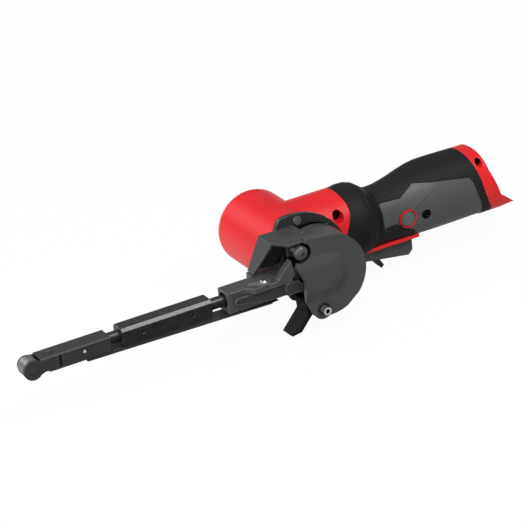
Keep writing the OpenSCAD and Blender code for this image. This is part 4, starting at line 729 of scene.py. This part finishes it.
def coil_spring(node, name, material, axis, wire, turns):
    """A round wire coil in the space of a CAD spring, along axis 0, 1 or 2 for X, Y or Z."""
    low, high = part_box(node)
    across = 1 if axis == 0 else 0
    length = high[axis] - low[axis] - 2.0 * wire
    reach = (high[across] - low[across]) / 2.0 - wire
    bpy.ops.object.select_all(action="DESELECT")
    bpy.ops.mesh.primitive_circle_add(
        vertices=WIRE_SIDES, radius=wire, fill_type="NOTHING", location=(reach, 0.0, 0.0),
        rotation=(math.pi / 2.0, 0.0, 0.0))
    piece = bpy.context.object
    piece.name = name
    bpy.ops.object.transform_apply(location=True, rotation=True, scale=True)
    screw = piece.modifiers.new("Coil", "SCREW")
    screw.axis = "Z"
    screw.angle = math.tau
    screw.iterations = turns
    screw.screw_offset = length / turns
    screw.steps = TURN_STEPS
    screw.render_steps = TURN_STEPS
    bpy.ops.object.modifier_apply(modifier=screw.name)
    bpy.ops.object.mode_set(mode="EDIT")
    bpy.ops.mesh.select_all(action="SELECT")
    bpy.ops.mesh.remove_doubles(threshold=MERGE_GAP)
    bpy.ops.mesh.select_all(action="DESELECT")
    bpy.ops.mesh.select_mode(type="EDGE")
    bpy.ops.mesh.select_non_manifold()
    bpy.ops.mesh.fill_holes(sides=WIRE_SIDES)
    bpy.ops.mesh.select_all(action="SELECT")
    bpy.ops.mesh.normals_make_consistent(inside=False)
    bpy.ops.object.mode_set(mode="OBJECT")
    start = (low + high) / 2.0
    start[axis] = low[axis] + wire
    piece.location = start
    piece.rotation_euler = AXIS_TURNS[axis]
    bpy.ops.object.transform_apply(location=True, rotation=True, scale=True)
    bpy.ops.object.shade_smooth_by_angle(angle=WIRE_ANGLE)
    piece.data.materials.append(material)
    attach(piece, frame["nodes"][node]["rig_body"])
    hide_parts(node)
    return piece


# Operators, one for each group of pieces

class BANDFILE_OT_housing(bpy.types.Operator):
    """Finishes the red housing, end cap, bezel, trim and button ring."""

    bl_idname = "band_file.housing"
    bl_label = "Finish the housing"

    def execute(self, context):
        sizes = context.scene.band_file_sizes
        colours = context.scene.band_file_colours
        red = moulded_plastic("red_housing_plastic", colours.housing, sizes, roughness=0.4, shine=0.3)
        dress(red, "motor_housing", "motor_end_cap", "trigger_trim", "button_ring", "rear_bezel")
        smoothed_copy("rear_bezel", "bezel_moulding", red)
        return {"FINISHED"}


class BANDFILE_OT_grip(bpy.types.Operator):
    """Finishes the handle shells, the rubber overmould and the collar."""

    bl_idname = "band_file.grip"
    bl_label = "Finish the grip"

    def execute(self, context):
        sizes = context.scene.band_file_sizes
        colours = context.scene.band_file_colours
        panel = panel_plastic("panel_plastic", colours.panel, sizes)
        rubber = dotted_rubber("grip_rubber", colours.grip, sizes, dot_lift_and_highlight=0.85)
        collar = dotted_rubber("collar_rubber", colours.grip, sizes, dot_lift_and_highlight=0.45)
        dress(panel, "handle_shell_left", "handle_shell_right")
        dress(rubber, "grip_overmould")
        dress(collar, "collar_ring")
        smoothed_copy("handle_shell_left", "panel_left", panel)
        smoothed_copy("handle_shell_right", "panel_right", panel)
        smoothed_copy("grip_overmould", "grip_sleeve", rubber)
        smoothed_copy("collar_ring", "collar_sleeve", collar)
        return {"FINISHED"}


class BANDFILE_OT_controls(bpy.types.Operator):
    """Finishes the trigger and its lock, and models the direction button."""

    bl_idname = "band_file.controls"
    bl_label = "Finish the controls"

    def execute(self, context):
        sizes = context.scene.band_file_sizes
        colours = context.scene.band_file_colours
        dress(moulded_plastic("trigger_plastic", colours.trigger, sizes, roughness=0.42), "trigger")
        black = moulded_plastic("black_plastic", colours.black, sizes, roughness=0.46)
        dress(black, "lock_off_lever", "terminal_block", "trigger_switch", "cooling_fan")
        dress(circuit_lacquer("board_lacquer"), "control_board")
        face = moulded_plastic("button_plastic", toned(colours.panel, light=1.3), sizes, roughness=0.4)
        dress(face, "direction_button")
        self.button(face, sizes)
        return {"FINISHED"}

    def button(self, material, sizes):
        """A round button with a dished face and a rounded rim, in the CAD button's place."""
        low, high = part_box("direction_button")
        radius = (high.x - low.x) / 2.0
        bpy.ops.object.select_all(action="DESELECT")
        bpy.ops.mesh.primitive_cylinder_add(
            vertices=BUTTON_SIDES, radius=radius, depth=high.y - low.y, location=(low + high) / 2.0,
            rotation=(-math.pi / 2.0, 0.0, 0.0))
        piece = bpy.context.object
        piece.name = "button_cap"
        bpy.ops.object.transform_apply(location=True, rotation=True, scale=True)
        for face in piece.data.polygons:
            face.select = face.normal.y > BUTTON_FRONT
        bpy.ops.object.mode_set(mode="EDIT")
        bpy.ops.mesh.select_mode(type="FACE")
        bpy.ops.mesh.inset(thickness=radius * BUTTON_RIM)
        bpy.ops.mesh.inset(thickness=radius * BUTTON_STEP, depth=-sizes.button_dish * BUTTON_SLOPE)
        bpy.ops.mesh.inset(thickness=radius * BUTTON_STEP, depth=-sizes.button_dish * BUTTON_FLOOR)
        bpy.ops.object.mode_set(mode="OBJECT")
        bevel = piece.modifiers.new("Rim", "BEVEL")
        bevel.width = radius * BUTTON_BEVEL
        bevel.segments = BUTTON_BEVEL_STEPS
        bevel.limit_method = "ANGLE"
        bevel.angle_limit = BUTTON_EDGE
        bpy.ops.object.modifier_apply(modifier=bevel.name)
        bpy.ops.object.shade_smooth_by_angle(angle=BUTTON_ANGLE)
        piece.data.materials.append(material)
        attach(piece, "button")
        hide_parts("direction_button")


class BANDFILE_OT_head(bpy.types.Operator):
    """Finishes the swivel head: cover, hood, plate, bracket, levers and knob."""

    bl_idname = "band_file.head"
    bl_label = "Finish the swivel head"

    def execute(self, context):
        sizes = context.scene.band_file_sizes
        colours = context.scene.band_file_colours
        dress(painted_sheet("cover_paint", colours.cover, sizes, roughness=0.3), "belt_cover")
        dress(painted_sheet("knob_paint", colours.cover, sizes, roughness=0.34), "tracking_knob")
        # The hood's and the plate's edges are painted much lighter, as a painted highlight and as wear
        hood = painted_sheet("hood_paint", colours.hood, sizes, roughness=0.4, wear_highlight_tone=9.0)
        dress(hood, "guard_hood")
        plate = painted_sheet("plate_paint", colours.plate, sizes, roughness=0.34, wear_highlight_tone=6.0)
        dress(plate, "back_plate")
        mount = painted_sheet("mount_black", colours.black, sizes, roughness=0.45)
        dress(mount, "motor_mount", "swivel_retainer")
        dress(cast_metal("bracket_casting", colours.casting, sizes, wear_highlight_tone=4.0), "arm_bracket")
        # The lever's edges are painted much lighter, as a painted highlight and as wear
        lever = cast_metal("lever_casting", toned(colours.casting, light=0.55), sizes, wear_highlight_tone=8.0)
        dress(lever, "release_lever")
        latch = cast_metal("latch_casting", toned(colours.casting, light=1.5), sizes, wear_highlight_tone=3.0)
        dress(latch, "latch_plate")
        lock = moulded_plastic(
            "lever_black", toned(colours.black, light=0.6), sizes, roughness=0.6, shine=0.15)
        dress(lock, "lock_lever")
        return {"FINISHED"}


class BANDFILE_OT_arm(bpy.types.Operator):
    """Finishes the front arm: blocks, rod, platen, fork and roller."""

    bl_idname = "band_file.arm"
    bl_label = "Finish the arm"

    def execute(self, context):
        sizes = context.scene.band_file_sizes
        colours = context.scene.band_file_colours
        dress(black_oxide("arm_black", colours.arm, sizes), "middle_block", "arm_pins")
        tip = painted_sheet(
            "tip_black", toned(colours.arm, light=0.36), sizes, roughness=0.5, wear_highlight_tone=1.5)
        dress(tip, "tip_block", "tip_fork", "roller_axle")
        dress(painted_sheet("platen_paint", colours.plate, sizes, roughness=0.4), "platen")
        dress(gritty_cloth("graphite_cloth"), "platen_pad")
        dress(moulded_plastic("rod_black", colours.black, sizes, roughness=0.3), "arm_rod")
        dress(turned_steel("roller_metal", colours.roller, sizes, roughness=0.45), "tip_roller")
        dress(turned_steel("axle_steel", colours.screw, sizes, roughness=0.35), "roller_bearings")
        return {"FINISHED"}


class BANDFILE_OT_drive(bpy.types.Operator):
    """Finishes the motor's inner pieces, the drive pulley and the rod's bush."""

    bl_idname = "band_file.drive"
    bl_label = "Finish the drive"

    def execute(self, context):
        sizes = context.scene.band_file_sizes
        colours = context.scene.band_file_colours
        steel = turned_steel("shaft_steel", colours.steel, sizes, roughness=0.25)
        dress(steel, "motor_shaft", "front_bearing", "rear_bearing")
        dress(stacked_sheets("core_steel", colours.steel), "stator", "rotor_core")
        dress(wound_wire("winding_copper", colours.copper), "stator_windings")
        dress(pebbled_rubber("pulley_rubber", colours.grip, sizes), "drive_pulley")
        dress(turned_steel("bush_bronze", BRONZE, sizes, roughness=0.4), "rod_bush")
        return {"FINISHED"}


class BANDFILE_OT_fasteners(bpy.types.Operator):
    """Finishes the screws, rivets and pins."""

    bl_idname = "band_file.fasteners"
    bl_label = "Finish the fasteners"

    def execute(self, context):
        sizes = context.scene.band_file_sizes
        colours = context.scene.band_file_colours
        plated = turned_steel("screw_plating", colours.screw, sizes, roughness=0.36)
        dress(plated, "clamp_screw", "platen_screws", "fork_screw", "pulley_screw")
        dress(plated, "lock_off_pin", "lock_lever_pin", "lever_pin")
        dress(black_oxide("sunk_screw_black", colours.black, sizes), "housing_screws")
        dress(turned_steel("rivet_steel", colours.steel, sizes, roughness=0.4), "plate_rivets")
        dress(turned_steel("pin_steel", colours.steel, sizes, roughness=0.3), "latch_rivet", "trigger_pin")
        # Cover screw: a painted highlight on the head's rim, painted shade in the socket inside it, and black
        # round it
        socket = highlight_ring_steel(
            "cover_screw_highlight_and_shade", colours.steel, sizes, "cover_screw", inner=0.42, outer=0.62)
        dress(socket, "cover_screw")
        # Tip pin: a painted glint, bright in the pin's middle and black round it
        dot = highlight_ring_steel("tip_pin_glint", colours.steel, sizes, "tip_pin", inner=0.0, outer=0.6)
        dress(dot, "tip_pin")
        return {"FINISHED"}


class BANDFILE_OT_springs(bpy.types.Operator):
    """Winds the tension, tracking and trigger springs."""

    bl_idname = "band_file.springs"
    bl_label = "Wind the springs"

    def execute(self, context):
        sizes = context.scene.band_file_sizes
        steel = turned_steel("spring_wire", context.scene.band_file_colours.screw, sizes, roughness=0.4)
        dress(steel, "tension_spring", "tracking_spring", "trigger_spring")
        tension = coil_spring(
            "tension_spring", "tension_coil", steel, axis=0, wire=sizes.spring_wire, turns=7)
        coil_spring("tracking_spring", "tracking_coil", steel, axis=1, wire=sizes.spring_wire, turns=3)
        trigger = coil_spring(
            "trigger_spring", "trigger_coil", steel, axis=2, wire=sizes.trigger_wire, turns=6)
        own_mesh(tension)
        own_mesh(trigger)
        return {"FINISHED"}


class BANDFILE_OT_stage(bpy.types.Operator):
    """Sets the floor, the soft lamps, the bright surround and the camera."""

    bl_idname = "band_file.stage"
    bl_label = "Set the stage"

    def execute(self, context):
        white = context.scene.band_file_colours.backdrop
        self.floor(white)
        self.surround(context.scene, white)
        for name, place, size, power in LAMPS:
            self.lamp(name, place, size, power)
        self.camera(context.scene)
        context.scene.view_settings.view_transform = "Standard"
        return {"FINISHED"}

    def floor(self, white):
        """A wide pale floor that takes a light shadow, and lets the camera see an arm swung below it."""
        bpy.ops.object.select_all(action="DESELECT")
        bpy.ops.mesh.primitive_plane_add(size=FLOOR_SIZE, location=(0.0, 0.0, CAD_LOW.z - FLOOR_GAP))
        floor = bpy.context.object
        floor.name = "studio_floor"
        paint = Paint("studio_floor_white")
        across = paint.node("SeparateXYZ", values={0: paint.place()}, output="Y")
        tone = paint.tint(paint.spread(across, CARD_SPAN, CARD_LIGHT), BLACK, rgba(white))
        card = paint.node("Emission", values={"Color": tone, "Strength": 1.0})
        matt = paint.node("BsdfDiffuse", values={"Color": rgba(white, FLOOR_GREY)})
        clear = paint.node("BsdfTransparent", values={"Color": rgba(white)})
        plain = paint.node("MixShader", values={0: paint.ray("Camera") * FLOOR_CLEAR, 1: matt, 2: clear})
        both = paint.node("MixShader", values={0: paint.ray("Glossy"), 1: plain, 2: card})
        paint.close("Material Output", both)
        floor.data.materials.append(paint.material)

    def surround(self, scene, white):
        """White space for the camera, and softer light from all round."""
        world = bpy.data.worlds.new("studio_surround")
        sheet = Sheet(world)
        soft = sheet.node("Background", values={"Color": rgba(white), "Strength": SURROUND_LIGHT})
        bright = sheet.node("Background", values={"Color": rgba(white), "Strength": 1.0})
        both = sheet.node("MixShader", values={0: sheet.ray("Camera"), 1: soft, 2: bright})
        sheet.close("World Output", both)
        scene.world = world

    def lamp(self, name, place, size, power):
        """A square soft lamp that faces the tool."""
        bpy.ops.object.light_add(type="AREA", location=place)
        lamp = bpy.context.object
        lamp.name = name
        lamp.data.size = size
        lamp.data.energy = power
        aim = LAMP_AIM - Vector(place)
        lamp.rotation_euler = aim.to_track_quat("-Z", "Y").to_euler()

    def camera(self, scene):
        """A long lens at the photograph's angle, slightly rolled."""
        bpy.ops.object.camera_add()
        camera = bpy.context.object
        camera.name = "photo_camera"
        turn = Matrix((CAMERA_RIGHT, CAMERA_UP, CAMERA_RIGHT.cross(CAMERA_UP))).transposed()
        camera.matrix_world = Matrix.Translation(CAMERA_PLACE) @ turn.to_4x4()
        camera.data.lens = CAMERA_LENS
        camera.data.sensor_width = CAMERA_SENSOR
        camera.data.clip_end = CAMERA_REACH
        scene.camera = camera


class BANDFILE_PT_sidebar(bpy.types.Panel):
    """Lists the sizes, the colours and the operators."""

    bl_idname = "BANDFILE_PT_sidebar"
    bl_label = "Band File"
    bl_space_type = "VIEW_3D"
    bl_region_type = "UI"
    bl_category = "Band File"

    def draw(self, context):
        for group in (context.scene.band_file_sizes, context.scene.band_file_colours):
            column = self.layout.column()
            for name in group.__annotations__:
                column.prop(group, name)
        for operator in OPERATORS:
            self.layout.operator(operator.bl_idname)


OPERATORS = (
    BANDFILE_OT_housing, BANDFILE_OT_grip, BANDFILE_OT_controls, BANDFILE_OT_head, BANDFILE_OT_arm,
    BANDFILE_OT_drive, BANDFILE_OT_fasteners, BANDFILE_OT_springs, BANDFILE_OT_stage,
)
CLASSES = (BandFileSizes, BandFileColours, *OPERATORS, BANDFILE_PT_sidebar)


def register():
    """Makes the classes and the scene's settings known."""
    for item in CLASSES:
        bpy.utils.register_class(item)
    bpy.types.Scene.band_file_sizes = bpy.props.PointerProperty(type=BandFileSizes)
    bpy.types.Scene.band_file_colours = bpy.props.PointerProperty(type=BandFileColours)


def unregister():
    """Takes the classes and the scene's settings away again."""
    del bpy.types.Scene.band_file_colours
    del bpy.types.Scene.band_file_sizes
    for item in reversed(CLASSES):
        bpy.utils.unregister_class(item)


def main():
    """Builds the whole scene."""
    register()
    bpy.ops.band_file.housing()
    bpy.ops.band_file.grip()
    bpy.ops.band_file.controls()
    bpy.ops.band_file.head()
    bpy.ops.band_file.arm()
    bpy.ops.band_file.drive()
    bpy.ops.band_file.fasteners()
    bpy.ops.band_file.springs()
    bpy.ops.band_file.stage()


if __name__ == "__main__":
    main()
